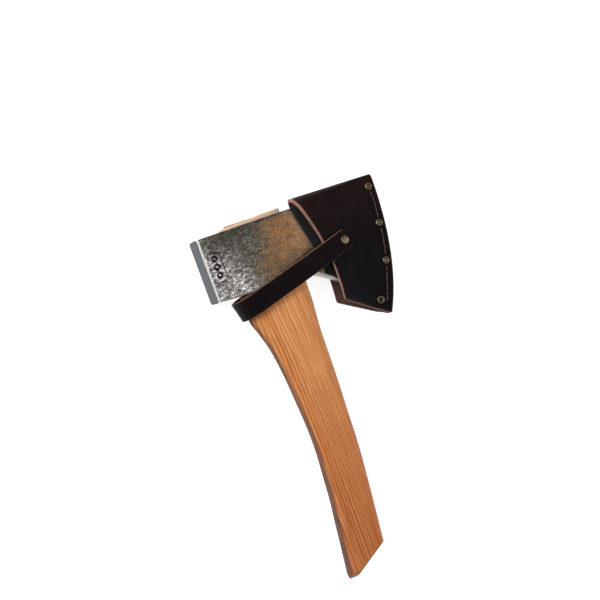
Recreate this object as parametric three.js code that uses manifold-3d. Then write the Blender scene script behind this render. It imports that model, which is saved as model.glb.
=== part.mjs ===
// Hatchet with a folded leather blade sheath.
// The hatchet lies on its side: +X runs from the poll to the cutting edge, +Y from the handle's butt
// to the head's top, and +Z is the side that carries the sheath's strap rivet. Millimetres.
// While building, X = 0 is the poll's face, Y = 0 the head's top and Z = 0 the mid-plane. The whole
// group is then moved so that the origin is under the centre of the object, at its lowest point.

import * as THREE from 'three';
import { mergeVertices } from 'three/addons/utils/BufferGeometryUtils.js';
import Module from 'manifold-3d';

const wasm = await Module();
wasm.setup();

// ---------------------------------------------------------------- driving dimensions

const GAP = 0.3;

// Head
const HEAD_HALF = 13.5;
const POLL_HEIGHT = 50;
const HEAD_BOTTOM_SLOPE = 0.05;
const BEARD_START = 80;
const BEARD_SLOPE = 0.5;
const BEARD_CURVE = 0.0071;
const TOE = new THREE.Vector2(144.5, -1);
const HEEL = new THREE.Vector2(122.5, -88);
const EDGE_BULGE_TOP = new THREE.Vector2(146, -30);
const EDGE_BULGE_LOW = new THREE.Vector2(143.5, -62);
const CHEEK_END = 66;
const THROAT_END = 92;
const THROAT_HALF = 6.6;
const BEVEL_START = 137;
const BEVEL_HALF = 1.9;
const EDGE_HALF = 0.2;
const CHAMFER = 1.4;

// Eye and handle
const EYE_CENTRE = 48;
const EYE_LENGTH = 52;
const EYE_WIDTH = 17;
const TENON_TOP = 2.6;
const TENON_TILT = 0.035;
const HANDLE_END = -290;
const END_CUT_HALF = 20;
const END_CUT_FALL = 0.5;
const WEDGE_LENGTH = 42;
const WEDGE_TOP = 3.2;
const WEDGE_TIP = 1.2;
const WEDGE_DEPTH = 30;
const WEDGE_PROUD = 3;
const WEDGE_SHORT = 1.5;
const STEEL_WEDGE_X = 60;
const STEEL_WEDGE_WIDTH = 11;
const STEEL_WEDGE_TOP = 2.4;
const STEEL_WEDGE_TIP = 0.8;
const STEEL_WEDGE_DEPTH = 14;

// Sheath
const LEATHER = 2.4;
const MOUTH_TOP = 6.8;
const OUTER_TOP = 4.9;
const MOUTH_HALF = 11.5;
const STACK_HALF = 3.7;
const SEAM_FLAT = 9.5;
const SEAM_FLAT_LOW = 15;
const WELT_HALF = 1;
const WELT_INSET = 0.5;
const WELT_SHORT = 1;
const WELT_TOP_ROW = 0.045;
const WELT_LOW_ROW = 0.99;

// Rivets and thread
const EDGE_RIVETS = [
  new THREE.Vector2(150, -4.3),
  new THREE.Vector2(148.4, -34.6),
  new THREE.Vector2(142.8, -64.4),
  new THREE.Vector2(127.4, -92.5),
];
const RIVET_RADIUS = 3;
const RIVET_SHANK = 1.4;
const RIVET_HEAD = 1.1;
const CAP_SOCKET = RIVET_SHANK + 0.25;
const THREAD_RADIUS = 0.45;
const STITCH = 4.2;
const STITCH_RISE = 0.35;
const THREAD_CLEAR = 0.15;
const GROOVE_DEPTH = 0.9;
const GROOVE_HALF = 0.8;

// Strap, along its own length T from the strap rivet towards the handle's back (negative T)
const STRAP_RIVET = new THREE.Vector2(112.4, -37.9);
const STRAP_ANGLE = THREE.MathUtils.degToRad(14.3);
const STRAP_WIDTH = 16;
const STRAP_END = 8.6;
const STRAP_INNER = 14.4;
const STRAP_SEAT = 0.5;
const STRAP_BEND = -36;
const WRAP_START = -83.1;
const WRAP_SPLIT = THREE.MathUtils.degToRad(22);
const TAIL_SPLIT = THREE.MathUtils.degToRad(172);
const STRAP_RIVET_RADIUS = 3.4;
const SNAP_T = -2;
const SNAP_LIFT = 3.2;
const SNAP_RADIUS = 5;

// ---------------------------------------------------------------- helpers

function solid(geometry) {
  const bare = geometry.clone();
  bare.deleteAttribute('normal');
  bare.deleteAttribute('uv');
  const merged = mergeVertices(bare, 1e-4);
  const mesh = new wasm.Mesh({
    numProp: 3,
    vertProperties: new Float32Array(merged.attributes.position.array),
    triVerts: new Uint32Array(merged.index.array),
  });
  return new wasm.Manifold(mesh);
}

function geometryOf(manifold) {
  const mesh = manifold.getMesh();
  const geometry = new THREE.BufferGeometry();
  geometry.setAttribute('position', new THREE.BufferAttribute(new Float32Array(mesh.vertProperties), 3));
  geometry.setIndex(new THREE.BufferAttribute(new Uint32Array(mesh.triVerts), 1));
  geometry.computeVertexNormals();
  return geometry;
}

const cut = (body, tool) => body.subtract(tool);

// A box divided into a grid, each of its points moved by a function of (u, v, side)
function mappedBox(across, down, place) {
  const geometry = new THREE.BoxGeometry(1, 1, 1, across, down, 1);
  const points = geometry.attributes.position;
  const target = new THREE.Vector3();
  for (let i = 0; i < points.count; i += 1) {
    place(points.getX(i) + 0.5, 0.5 - points.getY(i), Math.sign(points.getZ(i)), target);
    points.setXYZ(i, target.x, target.y, target.z);
  }
  return geometry;
}

function smooth(low, high, value) {
  return THREE.MathUtils.smoothstep(value, low, high);
}

function cylinderAt(radius, low, high, x, y, sides = 20) {
  const geometry = new THREE.CylinderGeometry(radius, radius, high - low, sides);
  geometry.rotateX(Math.PI / 2);
  geometry.translate(x, y, (low + high) / 2);
  return geometry;
}

// A solid of revolution about Z, its profile given as [radius, z] pairs from the axis to the axis
function turned(profile, sides = 20) {
  const points = profile.map(([r, z]) => new THREE.Vector2(r, z));
  if (THREE.ShapeUtils.area(points) < 0) points.reverse();
  const geometry = new THREE.LatheGeometry(points, sides);
  geometry.rotateX(Math.PI / 2);
  return geometry;
}

function cubic(a, b, c, d, t) {
  const s = 1 - t;
  return new THREE.Vector2()
    .addScaledVector(a, s * s * s)
    .addScaledVector(b, 3 * s * s * t)
    .addScaledVector(c, 3 * s * t * t)
    .addScaledVector(d, t * t * t);
}

const group = new THREE.Group();

function add(name, geometry, material) {
  const mesh = new THREE.Mesh(geometry, material);
  mesh.name = name;
  group.add(mesh);
  return mesh;
}

// ---------------------------------------------------------------- materials

const steel = new THREE.MeshStandardMaterial({ color: 0x6e665d, roughness: 0.45, metalness: 0.9 });
const wood = new THREE.MeshStandardMaterial({ color: 0xc98a45, roughness: 0.5, metalness: 0 });
const paleWood = new THREE.MeshStandardMaterial({ color: 0xd9b98a, roughness: 0.7, metalness: 0 });
const leather = new THREE.MeshStandardMaterial({ color: 0x2a1a14, roughness: 0.5, metalness: 0 });
const rawLeather = new THREE.MeshStandardMaterial({ color: 0x8a6450, roughness: 0.8, metalness: 0 });
const bronze = new THREE.MeshStandardMaterial({ color: 0x7a6244, roughness: 0.4, metalness: 0.9 });
const thread = new THREE.MeshStandardMaterial({ color: 0x5a3226, roughness: 0.8, metalness: 0 });

// ---------------------------------------------------------------- head

function headBottom(x) {
  const past = Math.max(0, x - BEARD_START);
  const straight = -POLL_HEIGHT - HEAD_BOTTOM_SLOPE * Math.min(x, BEARD_START);
  return straight - BEARD_SLOPE * past - BEARD_CURVE * past * past;
}

// Half the head's thickness at the station s along the top, measured from the poll
function headHalf(s) {
  if (s < CHEEK_END) return HEAD_HALF;
  if (s < THROAT_END) return THREE.MathUtils.lerp(HEAD_HALF, THROAT_HALF, smooth(CHEEK_END, THROAT_END, s));
  if (s < BEVEL_START) {
    return THREE.MathUtils.mapLinear(s, THROAT_END, BEVEL_START, THROAT_HALF, BEVEL_HALF);
  }
  return THREE.MathUtils.mapLinear(s, BEVEL_START, TOE.x, BEVEL_HALF, EDGE_HALF);
}

const HEAD_COLUMNS = [
  0, 1.4, 12, 24, 36, 48, 60, 66, 70, 74, 78, 82, 86, 90, 94, 100, 107, 114, 121, 128, 133, 137, 141, 144.5,
];
const HEAD_ROWS = [0, 0.028, 0.12, 0.24, 0.36, 0.48, 0.6, 0.72, 0.84, 0.93, 0.972, 1];

function headPoint(s, v) {
  const u = s / TOE.x;
  const late = Math.max(0, (u - 0.5) / 0.5);
  const bottomX = s - (TOE.x - HEEL.x) * late * late;
  const top = new THREE.Vector2(s, TOE.y * u);
  const bottom = new THREE.Vector2(bottomX, headBottom(bottomX));
  const point = top.clone().lerp(bottom, v);
  const bulge = cubic(TOE, EDGE_BULGE_TOP, EDGE_BULGE_LOW, HEEL, v).sub(TOE.clone().lerp(HEEL, v));
  return point.addScaledVector(bulge, smooth(0.55, 1, u));
}

function headShape() {
  return mappedBox(HEAD_COLUMNS.length - 1, HEAD_ROWS.length - 1, (u, v, side, target) => {
    const s = HEAD_COLUMNS[Math.round(u * (HEAD_COLUMNS.length - 1))];
    const row = HEAD_ROWS[Math.round(v * (HEAD_ROWS.length - 1))];
    const point = headPoint(s, row);
    const onPoll = s === 0;
    const onRim = row === 0 || row === 1;
    const chamfer = Math.min(CHAMFER, headHalf(s) * 0.5);
    const drop = (onPoll ? CHAMFER : 0) + (onRim ? chamfer : 0);
    target.set(point.x, point.y, side * (headHalf(s) - Math.min(drop, 2 * CHAMFER)));
  });
}

// The eye's outline, a rounded oval, as a solid along Y
function oval(length, width, yLow, yHigh, x, sides = 40) {
  const shape = new THREE.Shape();
  shape.absellipse(x, 0, length / 2, width / 2, 0, Math.PI * 2, false, 0);
  const depth = yHigh - yLow;
  const geometry = new THREE.ExtrudeGeometry(shape, { depth, bevelEnabled: false, curveSegments: sides });
  geometry.rotateX(-Math.PI / 2);
  geometry.translate(0, yLow, 0);
  return geometry;
}

const eyeHole = solid(oval(EYE_LENGTH, EYE_WIDTH, -POLL_HEIGHT - 12, 10, EYE_CENTRE));
const head = cut(solid(headShape()), eyeHole);
add('axe_head', geometryOf(head), steel);

// ---------------------------------------------------------------- handle

// Stations down the handle: height, back edge, front edge and half thickness
const HANDLE_STATIONS = [
  [TENON_TOP, 22.3, 73.7, 8.2],
  [-51, 22.3, 73.7, 8.2],
  [-53, 20.9, 74.8, 10.6],
  [-58, 20.6, 74.4, 11.4],
  [-68, 20.7, 74.2, 11.6],
  [-74, 21.1, 74, 11.6],
  [-82.6, 24.2, 73.2, 11.5],
  [-97.2, 28.4, 72.2, 11.3],
  [-111.2, 30.8, 71.9, 11.1],
  [-125.1, 32.4, 71.5, 10.9],
  [-145.6, 34, 70.7, 10.8],
  [-166.2, 35.4, 69.6, 10.8],
  [-186.3, 35.5, 68.7, 10.9],
  [-205.8, 34.2, 67.3, 11.2],
  [-225.3, 32.8, 65.3, 11.6],
  [-244.5, 30.5, 63.2, 12],
  [-263.7, 28.3, 61, 12.3],
  [HANDLE_END, 25, 58.4, 12.4],
];

// The tenon's top is cut a little aslant, and the shoulder follows the head's underside
function shoulderLean(x, y) {
  if (y > 0) return TENON_TILT * (x - EYE_CENTRE);
  const weight = smooth(0, 50, -y) * (1 - smooth(58, 97, -y));
  return -HEAD_BOTTOM_SLOPE * (x - 20) * weight;
}

function handleShape() {
  const rows = HANDLE_STATIONS.length;
  const geometry = new THREE.CylinderGeometry(1, 1, 1, 28, rows - 1);
  const points = geometry.attributes.position;
  for (let i = 0; i < points.count; i += 1) {
    const row = Math.round((0.5 - points.getY(i)) * (rows - 1));
    const [y, back, front, half] = HANDLE_STATIONS[row];
    const angle = Math.atan2(points.getZ(i), points.getX(i));
    const reach = Math.hypot(points.getX(i), points.getZ(i));
    const power = row < 2 ? 1 : THREE.MathUtils.lerp(0.86, 0.6, smooth(60, 200, -y));
    const cosine = Math.cos(angle);
    const sine = Math.sin(angle);
    const along = reach * Math.sign(cosine) * Math.abs(cosine) ** power;
    const x = (back + front) / 2 + along * (front - back) / 2;
    const z = reach * half * Math.sign(sine) * Math.abs(sine) ** power;
    points.setXYZ(i, x, y + shoulderLean(x, y), z);
  }
  return geometry;
}

// A wedge pointing down the handle: wide at the top, its length along X
function wedge(length, top, tip, depth, high) {
  const shape = new THREE.Shape();
  shape.moveTo(-top / 2, high);
  shape.lineTo(-tip / 2, high - depth);
  shape.lineTo(tip / 2, high - depth);
  shape.lineTo(top / 2, high);
  shape.closePath();
  const geometry = new THREE.ExtrudeGeometry(shape, { depth: length, bevelEnabled: false });
  geometry.translate(0, 0, -length / 2);
  return geometry;
}

// The handle's end is sawn across at an angle, with a small flat at the back, and falls away from
// the mid-plane towards both sides
const endCutter = new THREE.Shape([
  new THREE.Vector2(84, -259.2),
  new THREE.Vector2(59.8, -272.8),
  new THREE.Vector2(33.2, -287.6),
  new THREE.Vector2(10, -286.9),
  new THREE.Vector2(10, -310),
  new THREE.Vector2(84, -310),
]);

function endBlock(side) {
  const geometry = new THREE.ExtrudeGeometry(endCutter, { depth: END_CUT_HALF, bevelEnabled: false });
  if (side < 0) geometry.translate(0, 0, -END_CUT_HALF);
  return geometry.applyMatrix4(new THREE.Matrix4().makeShear(0, 0, 0, 0, 0, side * END_CUT_FALL));
}

const kerf = wedge(WEDGE_LENGTH, WEDGE_TOP, WEDGE_TIP, WEDGE_DEPTH, TENON_TOP + 1);
kerf.rotateY(Math.PI / 2);
kerf.translate(EYE_CENTRE, 0, 0);

// The steel wedge's slot, its top open above the wood it is cut in
function steelSlot(deeper, high) {
  const geometry = wedge(
    STEEL_WEDGE_WIDTH,
    STEEL_WEDGE_TOP,
    STEEL_WEDGE_TIP,
    STEEL_WEDGE_DEPTH + deeper,
    TENON_TOP + high,
  );
  geometry.translate(STEEL_WEDGE_X, 0, 0);
  return solid(geometry);
}

let handle = solid(handleShape());
handle = cut(handle, solid(endBlock(1)));
handle = cut(handle, solid(endBlock(-1)));
handle = cut(handle, solid(kerf));
handle = cut(handle, steelSlot(0, 1));
add('handle', geometryOf(handle), wood);

// A wedge that fits a slot of the given size with a gap all round
function fittedWedge(length, top, tip, depth) {
  return wedge(length - 2 * GAP, top - 2 * GAP, tip - 2 * GAP, depth - WEDGE_SHORT, WEDGE_PROUD);
}

const woodWedge = fittedWedge(WEDGE_LENGTH, WEDGE_TOP, WEDGE_TIP, WEDGE_DEPTH);
woodWedge.rotateY(Math.PI / 2);
woodWedge.translate(EYE_CENTRE, 0, 0);
add('wood_wedge', geometryOf(cut(solid(woodWedge), steelSlot(1, 2))), paleWood);

const steelWedge = fittedWedge(STEEL_WEDGE_WIDTH, STEEL_WEDGE_TOP, STEEL_WEDGE_TIP, STEEL_WEDGE_DEPTH);
steelWedge.translate(STEEL_WEDGE_X, 0, 0);
add('steel_wedge', steelWedge, steel);

// ---------------------------------------------------------------- sheath

// Control points of the mouth's curve and of the sewn edge's curve, top to bottom
const flatPoints = (pairs) => pairs.map(([x, y]) => new THREE.Vector2(x, y));
const MOUTH = flatPoints([[84, MOUTH_TOP], [91, -14], [101, -40], [96.5, -82]]);
const OUTER = flatPoints([[156.2, OUTER_TOP], [156.5, -34], [151, -74], [133, -106.4]]);

const mouthAt = (v) => cubic(...MOUTH, v);
const outerAt = (v) => cubic(...OUTER, v);
const widthAt = (v) => mouthAt(v).distanceTo(outerAt(v));
const seamFlatAt = (v) => THREE.MathUtils.lerp(SEAM_FLAT, SEAM_FLAT_LOW, smooth(0.7, 0.95, v));

// Half the sheath's outer thickness at a distance in from the sewn edge
function sheathHalf(inset, v) {
  const flat = seamFlatAt(v);
  const rise = Math.max(0, (inset - flat) / (widthAt(v) - flat));
  return STACK_HALF + (MOUTH_HALF - STACK_HALF) * rise;
}

const SHEATH_COLUMNS = 12;
const FOLD_LEAST = 0.12;
const OPEN_PAST = 4;
const SHEATH_ROWS = [0, 0.008, 0.025, 0.055, 0.1, 0.2, 0.3, 0.4, 0.5, 0.6, 0.7, 0.8, 0.9, 1];

// The folded leather's outer face (shrink 0) or its inner face (shrink = leather thickness).
// The inner face runs past the mouth, the sewn edge and the bottom, so that they stay open.
function sheathShape(shrink) {
  const rows = SHEATH_ROWS.length - 1;
  const past = shrink > 0 ? OPEN_PAST : 0;
  return mappedBox(SHEATH_COLUMNS, rows, (u, v, side, target) => {
    const row = SHEATH_ROWS[Math.round(v * rows)];
    const mouth = mouthAt(row);
    const outer = outerAt(row);
    const width = widthAt(row);
    const flat = seamFlatAt(row);
    const columns = SHEATH_COLUMNS - 2;
    const step = Math.round(u * SHEATH_COLUMNS);
    const open = width + past - step * (width + past - flat) / columns;
    const sewn = flat - (step - columns) * (flat + past) / 2;
    const inset = step > columns ? sewn : open;
    const point = outer.clone().lerp(mouth, inset / width);
    const half = sheathHalf(inset, row) - shrink;
    const depth = Math.min(half, THREE.MathUtils.lerp(OUTER_TOP, MOUTH_TOP, inset / width) - point.y);
    const roundness = Math.sqrt(Math.max(0, 1 - (1 - depth / half) ** 2));
    const thick = (row === 0 ? FOLD_LEAST : Math.max(FOLD_LEAST, roundness)) * half;
    const down = row === 1 && shrink > 0 ? past : 0;
    target.set(point.x, point.y - shrink * (1 - row) - down, side * thick);
  });
}

let sheath = cut(solid(sheathShape(0)), solid(sheathShape(LEATHER)));
const cornerCutter = new THREE.Shape();
cornerCutter.moveTo(136.8, -101);
cornerCutter.lineTo(134.2, -103.7);
cornerCutter.quadraticCurveTo(132.8, -105.9, 129.9, -103.9);
cornerCutter.lineTo(126.5, -103.4);
cornerCutter.lineTo(124, -112);
cornerCutter.lineTo(146, -112);
cornerCutter.closePath();
const cornerOptions = { depth: 30, bevelEnabled: false, curveSegments: 6 };
const cornerBlock = new THREE.ExtrudeGeometry(cornerCutter, cornerOptions);
cornerBlock.translate(0, 0, -15);
const corner = solid(cornerBlock);
sheath = cut(sheath, corner);

let welt = solid(mappedBox(2, SHEATH_ROWS.length - 1, (u, v, side, target) => {
  const row = THREE.MathUtils.lerp(WELT_TOP_ROW, WELT_LOW_ROW, v);
  const inner = seamFlatAt(row) - WELT_SHORT;
  const inset = THREE.MathUtils.lerp(inner, WELT_INSET, u);
  const point = outerAt(row).lerp(mouthAt(row), inset / widthAt(row));
  target.set(point.x, point.y, side * WELT_HALF);
}));
welt = cut(welt, corner);

// ---------------------------------------------------------------- seam

const SEAM_RUNS = [
  [[150.7, -8.6], [151.2, -20], [149.6, -30.1]],
  [[148.9, -39.1], [147.6, -49.5], [144.7, -59.7]],
  [[142, -69], [138.6, -80.5], [132.5, -95.6]],
].map((run) => new THREE.QuadraticBezierCurve(...flatPoints(run)));

class StitchCurve extends THREE.Curve {
  constructor(run, level, side) {
    super();
    this.run = run;
    this.level = level;
    this.side = side;
  }

  getPoint(t, target = new THREE.Vector3()) {
    const flat = this.run.getPoint(t);
    const count = Math.round(this.run.getLength() / STITCH);
    const wave = Math.abs(Math.sin(Math.PI * count * t));
    return target.set(flat.x, flat.y, this.side * (this.level + STITCH_RISE * Math.sqrt(wave)));
  }
}

function round(radius, sides) {
  const shape = new THREE.Shape();
  for (let i = 0; i < sides; i += 1) {
    const angle = (i / sides) * Math.PI * 2;
    const place = i === 0 ? 'moveTo' : 'lineTo';
    shape[place](radius * Math.cos(angle), radius * Math.sin(angle));
  }
  shape.closePath();
  return shape;
}

function grooveTool(run, side) {
  const points = [-0.03, 0.15, 0.33, 0.5, 0.67, 0.85, 1.03].map((t) => run.getPoint(t));
  const last = points.length - 1;
  const left = [];
  const right = [];
  points.forEach((point, i) => {
    const ahead = points[Math.min(i + 1, last)];
    const behind = points[Math.max(i - 1, 0)];
    const tangent = ahead.clone().sub(behind).normalize().multiplyScalar(GROOVE_HALF);
    left.push(new THREE.Vector2(point.x - tangent.y, point.y + tangent.x));
    right.unshift(new THREE.Vector2(point.x + tangent.y, point.y - tangent.x));
  });
  const shape = new THREE.Shape([...left, ...right]);
  const geometry = new THREE.ExtrudeGeometry(shape, { depth: 4, bevelEnabled: false });
  geometry.translate(0, 0, side > 0 ? STACK_HALF - GROOVE_DEPTH : -STACK_HALF + GROOVE_DEPTH - 4);
  return solid(geometry);
}

const threads = [];
[['front', 1], ['back', -1]].forEach(([label, side]) => {
  SEAM_RUNS.forEach((run, i) => {
    sheath = cut(sheath, grooveTool(run, side));
    const path = new StitchCurve(run, STACK_HALF - GROOVE_DEPTH + THREAD_RADIUS + THREAD_CLEAR, side);
    const steps = Math.round(run.getLength() / STITCH) * 4;
    const options = { steps, extrudePath: path, bevelEnabled: false };
    const geometry = new THREE.ExtrudeGeometry(round(THREAD_RADIUS, 6), options);
    threads.push([`seam_thread_${label}_${i + 1}`, geometry]);
  });
});

// ---------------------------------------------------------------- edge rivets

EDGE_RIVETS.forEach((at, i) => {
  const hole = solid(cylinderAt(RIVET_SHANK + GAP, -20, 20, at.x, at.y, 16));
  sheath = cut(sheath, hole);
  welt = cut(welt, hole);
  const face = STACK_HALF + GAP;
  const seat = -STACK_HALF - GAP;
  const rivet = turned([
    [0, seat], [RIVET_SHANK, seat], [RIVET_SHANK, face], [RIVET_RADIUS, face], [RIVET_RADIUS, face + 0.35],
    [RIVET_RADIUS - 0.6, face + 0.85], [1.9, face + RIVET_HEAD], [1.2, face + 0.7], [0, face + 0.5],
  ]);
  rivet.translate(at.x, at.y, 0);
  add(`edge_rivet_${i + 1}`, rivet, bronze);
  const cap = turned([
    [0, seat - RIVET_HEAD], [RIVET_RADIUS - 0.7, seat - RIVET_HEAD + 0.1], [RIVET_RADIUS, seat - 0.55],
    [RIVET_RADIUS, seat], [CAP_SOCKET, seat], [CAP_SOCKET, seat - 0.3], [0, seat - 0.3],
  ]);
  cap.translate(at.x, at.y, 0);
  add(`edge_rivet_cap_${i + 1}`, cap, bronze);
});

// ---------------------------------------------------------------- strap

// Height of the sheath's outer face at a point along and across the strap
function faceAt(t, across = 0) {
  const x = STRAP_RIVET.x + t * Math.cos(STRAP_ANGLE) - across * Math.sin(STRAP_ANGLE);
  const y = STRAP_RIVET.y + t * Math.sin(STRAP_ANGLE) + across * Math.cos(STRAP_ANGLE);
  const point = new THREE.Vector2(x, y);
  let low = 0;
  let high = 1;
  for (let i = 0; i < 24; i += 1) {
    const row = (low + high) / 2;
    const above = outerAt(row).sub(mouthAt(row)).cross(point.clone().sub(mouthAt(row))) > 0;
    if (above) high = row;
    else low = row;
  }
  const inset = outerAt(low).distanceTo(point);
  return sheathHalf(inset, low);
}
const FACE = faceAt(0);
const FACE_SLOPE = (faceAt(-8) - faceAt(8)) / 16;
const FACE_TILT = Math.atan(FACE_SLOPE);

// Turns a piece made in strap coordinates (X = T, Y = across, Z) into the head's coordinates
function toStrap(geometry) {
  geometry.rotateZ(STRAP_ANGLE);
  geometry.translate(STRAP_RIVET.x, STRAP_RIVET.y, 0);
  return geometry;
}

// A strip of leather, its centre line given in (T, Z), extruded across the strap's width
function strip(line) {
  const left = [];
  const right = [];
  line.forEach((point, i) => {
    const before = line[Math.max(i - 1, 0)];
    const after = line[Math.min(i + 1, line.length - 1)];
    const tangent = after.clone().sub(before).normalize();
    const toPoint = i > 0 ? point.clone().sub(before).normalize() : tangent;
    const half = LEATHER / 2 / Math.max(0.5, Math.abs(tangent.dot(toPoint)));
    left.push(new THREE.Vector2(point.x - tangent.y * half, point.y + tangent.x * half));
    right.unshift(new THREE.Vector2(point.x + tangent.y * half, point.y - tangent.x * half));
  });
  const shape = new THREE.Shape([...left, ...right]);
  const geometry = new THREE.ExtrudeGeometry(shape, { depth: STRAP_WIDTH, bevelEnabled: false });
  geometry.rotateX(Math.PI / 2);
  geometry.translate(0, STRAP_WIDTH / 2, 0);
  return geometry;
}

const MID = STRAP_INNER + LEATHER / 2;

function wrapPoint(angle) {
  return new THREE.Vector2(WRAP_START - MID * Math.sin(angle), MID * Math.cos(angle));
}

function arcPoints(from, to, count) {
  return Array.from({ length: count + 1 }, (_, i) => wrapPoint(from + (to - from) * i / count));
}

// The rounded end past a rivet, as a tall block cut from the strap's outline
function roundedEnd(reach) {
  const shape = new THREE.Shape();
  const half = STRAP_WIDTH / 2;
  shape.moveTo(-140, -half - 1);
  shape.lineTo(reach - half, -half - 1);
  shape.lineTo(reach - half, -half);
  shape.absellipse(reach - half, 0, half, half, -Math.PI / 2, Math.PI / 2, false, 0);
  shape.lineTo(reach - half, half + 1);
  shape.lineTo(-140, half + 1);
  shape.closePath();
  const geometry = new THREE.ExtrudeGeometry(shape, { depth: 60, bevelEnabled: false, curveSegments: 12 });
  geometry.translate(0, 0, -30);
  return solid(geometry);
}

const rivetLevel = FACE + STRAP_SEAT + LEATHER / 2;
const frontLine = [
  new THREE.Vector2(STRAP_END + 2, rivetLevel - FACE_SLOPE * (STRAP_END + 2)),
  new THREE.Vector2(-15, rivetLevel + FACE_SLOPE * 15),
  new THREE.Vector2(STRAP_BEND, MID - 0.6),
  new THREE.Vector2(STRAP_BEND - 8, MID),
  ...arcPoints(0, WRAP_SPLIT, 4),
];
const splitGap = GAP / MID;
const tailAt = (t) => new THREE.Vector2(t, -(FACE - FACE_SLOPE * t + SNAP_LIFT + LEATHER / 2));
const tailLine = [
  ...arcPoints(TAIL_SPLIT + splitGap, Math.PI, 1),
  new THREE.Vector2(STRAP_BEND - 8, -MID),
  new THREE.Vector2(-22, -MID + 0.5),
  tailAt(-12),
  tailAt(STRAP_END + 2),
];

let frontRun = solid(strip(frontLine)).intersect(roundedEnd(STRAP_END));
let tail = solid(strip(tailLine)).intersect(roundedEnd(SNAP_T + STRAP_END));
const wrap = toStrap(strip(arcPoints(WRAP_SPLIT + splitGap, TAIL_SPLIT, 14)));

// Strap rivet: through the strap and the front panel, its cap inside the sheath
function onFace(profile, sides = 20) {
  const geometry = turned(profile, sides);
  geometry.rotateY(FACE_TILT);
  geometry.translate(0, 0, FACE);
  return geometry;
}
const strapTop = STRAP_SEAT + LEATHER + GAP;
const strapHole = onFace([[0, -8], [RIVET_SHANK + GAP, -8], [RIVET_SHANK + GAP, 9], [0, 9]], 16);
frontRun = cut(frontRun, solid(strapHole));
sheath = cut(sheath, solid(toStrap(strapHole.clone())));
const strapSeat = -LEATHER - GAP;
add('strap_rivet', toStrap(onFace([
  [0, strapSeat], [RIVET_SHANK, strapSeat], [RIVET_SHANK, strapTop], [STRAP_RIVET_RADIUS, strapTop],
  [STRAP_RIVET_RADIUS, strapTop + 0.4], [STRAP_RIVET_RADIUS - 0.9, strapTop + 0.95], [0, strapTop + 1.1],
])), bronze);
add('strap_rivet_cap', toStrap(onFace([
  [0, strapSeat - 0.9], [RIVET_RADIUS - 0.6, strapSeat - 0.8], [RIVET_RADIUS, strapSeat - 0.4],
  [RIVET_RADIUS, strapSeat], [CAP_SOCKET, strapSeat], [CAP_SOCKET, strapSeat - 0.3],
  [0, strapSeat - 0.3],
])), bronze);

// Press stud: cap and socket on the strap's tail, stud and flange on the back panel
function onBack(profile, sides = 20) {
  const geometry = turned(profile, sides);
  geometry.rotateY(-FACE_TILT);
  geometry.translate(SNAP_T, 0, -(FACE - FACE_SLOPE * SNAP_T));
  return geometry;
}
const studHole = onBack([[0, -4], [RIVET_SHANK + GAP, -4], [RIVET_SHANK + GAP, 8], [0, 8]], 16);
sheath = cut(sheath, solid(toStrap(studHole)));
add('snap_stud', toStrap(onBack([
  [0, -2.3], [1.6, -2.2], [1.9, -1.9], [1.6, -1.4], [1.6, -1], [4, -0.9], [4.2, -GAP],
  [RIVET_SHANK, -GAP], [RIVET_SHANK, LEATHER + GAP], [0, LEATHER + GAP],
])), bronze);
const inside = LEATHER + GAP;
add('snap_stud_flange', toStrap(onBack([
  [0, inside + GAP], [RIVET_SHANK + 0.3, inside + GAP], [RIVET_SHANK + 0.3, inside], [RIVET_RADIUS, inside],
  [RIVET_RADIUS, inside + 0.4], [RIVET_RADIUS - 0.6, inside + 0.8], [0, inside + 0.9],
])), bronze);

// The tail's inner face stands off the back panel by the press stud's height
const rear = -SNAP_LIFT;
const capFace = rear - LEATHER - GAP;
const barrel = 1.3;
const clear = barrel + GAP;
const tailHole = onBack([[0, rear - 8], [clear, rear - 8], [clear, rear + 6], [0, rear + 6]], 16);
tail = cut(tail, solid(tailHole));
add('snap_socket', toStrap(onBack([
  [0, rear - 0.9], [barrel, rear - 0.9], [barrel, rear + GAP], [4.6, rear + GAP], [4.6, rear + 1.3],
  [4.2, rear + 1.7], [2.6, rear + 1.7], [2.3, rear + 1.4], [2.3, rear + 2 * GAP], [0, rear + 2 * GAP],
])), bronze);
add('snap_cap', toStrap(onBack([
  [0, capFace - 1.5], [SNAP_RADIUS - 1.6, capFace - 1.2], [SNAP_RADIUS - 0.3, capFace - 0.5],
  [SNAP_RADIUS, capFace], [barrel, capFace], [barrel, rear - 1.2], [0, rear - 1.2],
])), bronze);

add('sheath_body', geometryOf(sheath), leather);
add('sheath_welt', geometryOf(welt), rawLeather);
threads.forEach(([name, geometry]) => add(name, geometry, thread));
add('strap_front_run', toStrap(geometryOf(frontRun)), leather);
add('strap_wrap', wrap, leather);
add('strap_tail', toStrap(geometryOf(tail)), leather);

// ---------------------------------------------------------------- origin

const box = new THREE.Box3().setFromObject(group);
const centre = box.getCenter(new THREE.Vector3());
group.position.set(-centre.x, -centre.y, -box.min.z);
group.updateMatrixWorld(true);

export default group;
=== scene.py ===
import math
import random

import bmesh
import bpy
import numpy as np
from mathutils import Matrix, Vector, noise


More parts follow.
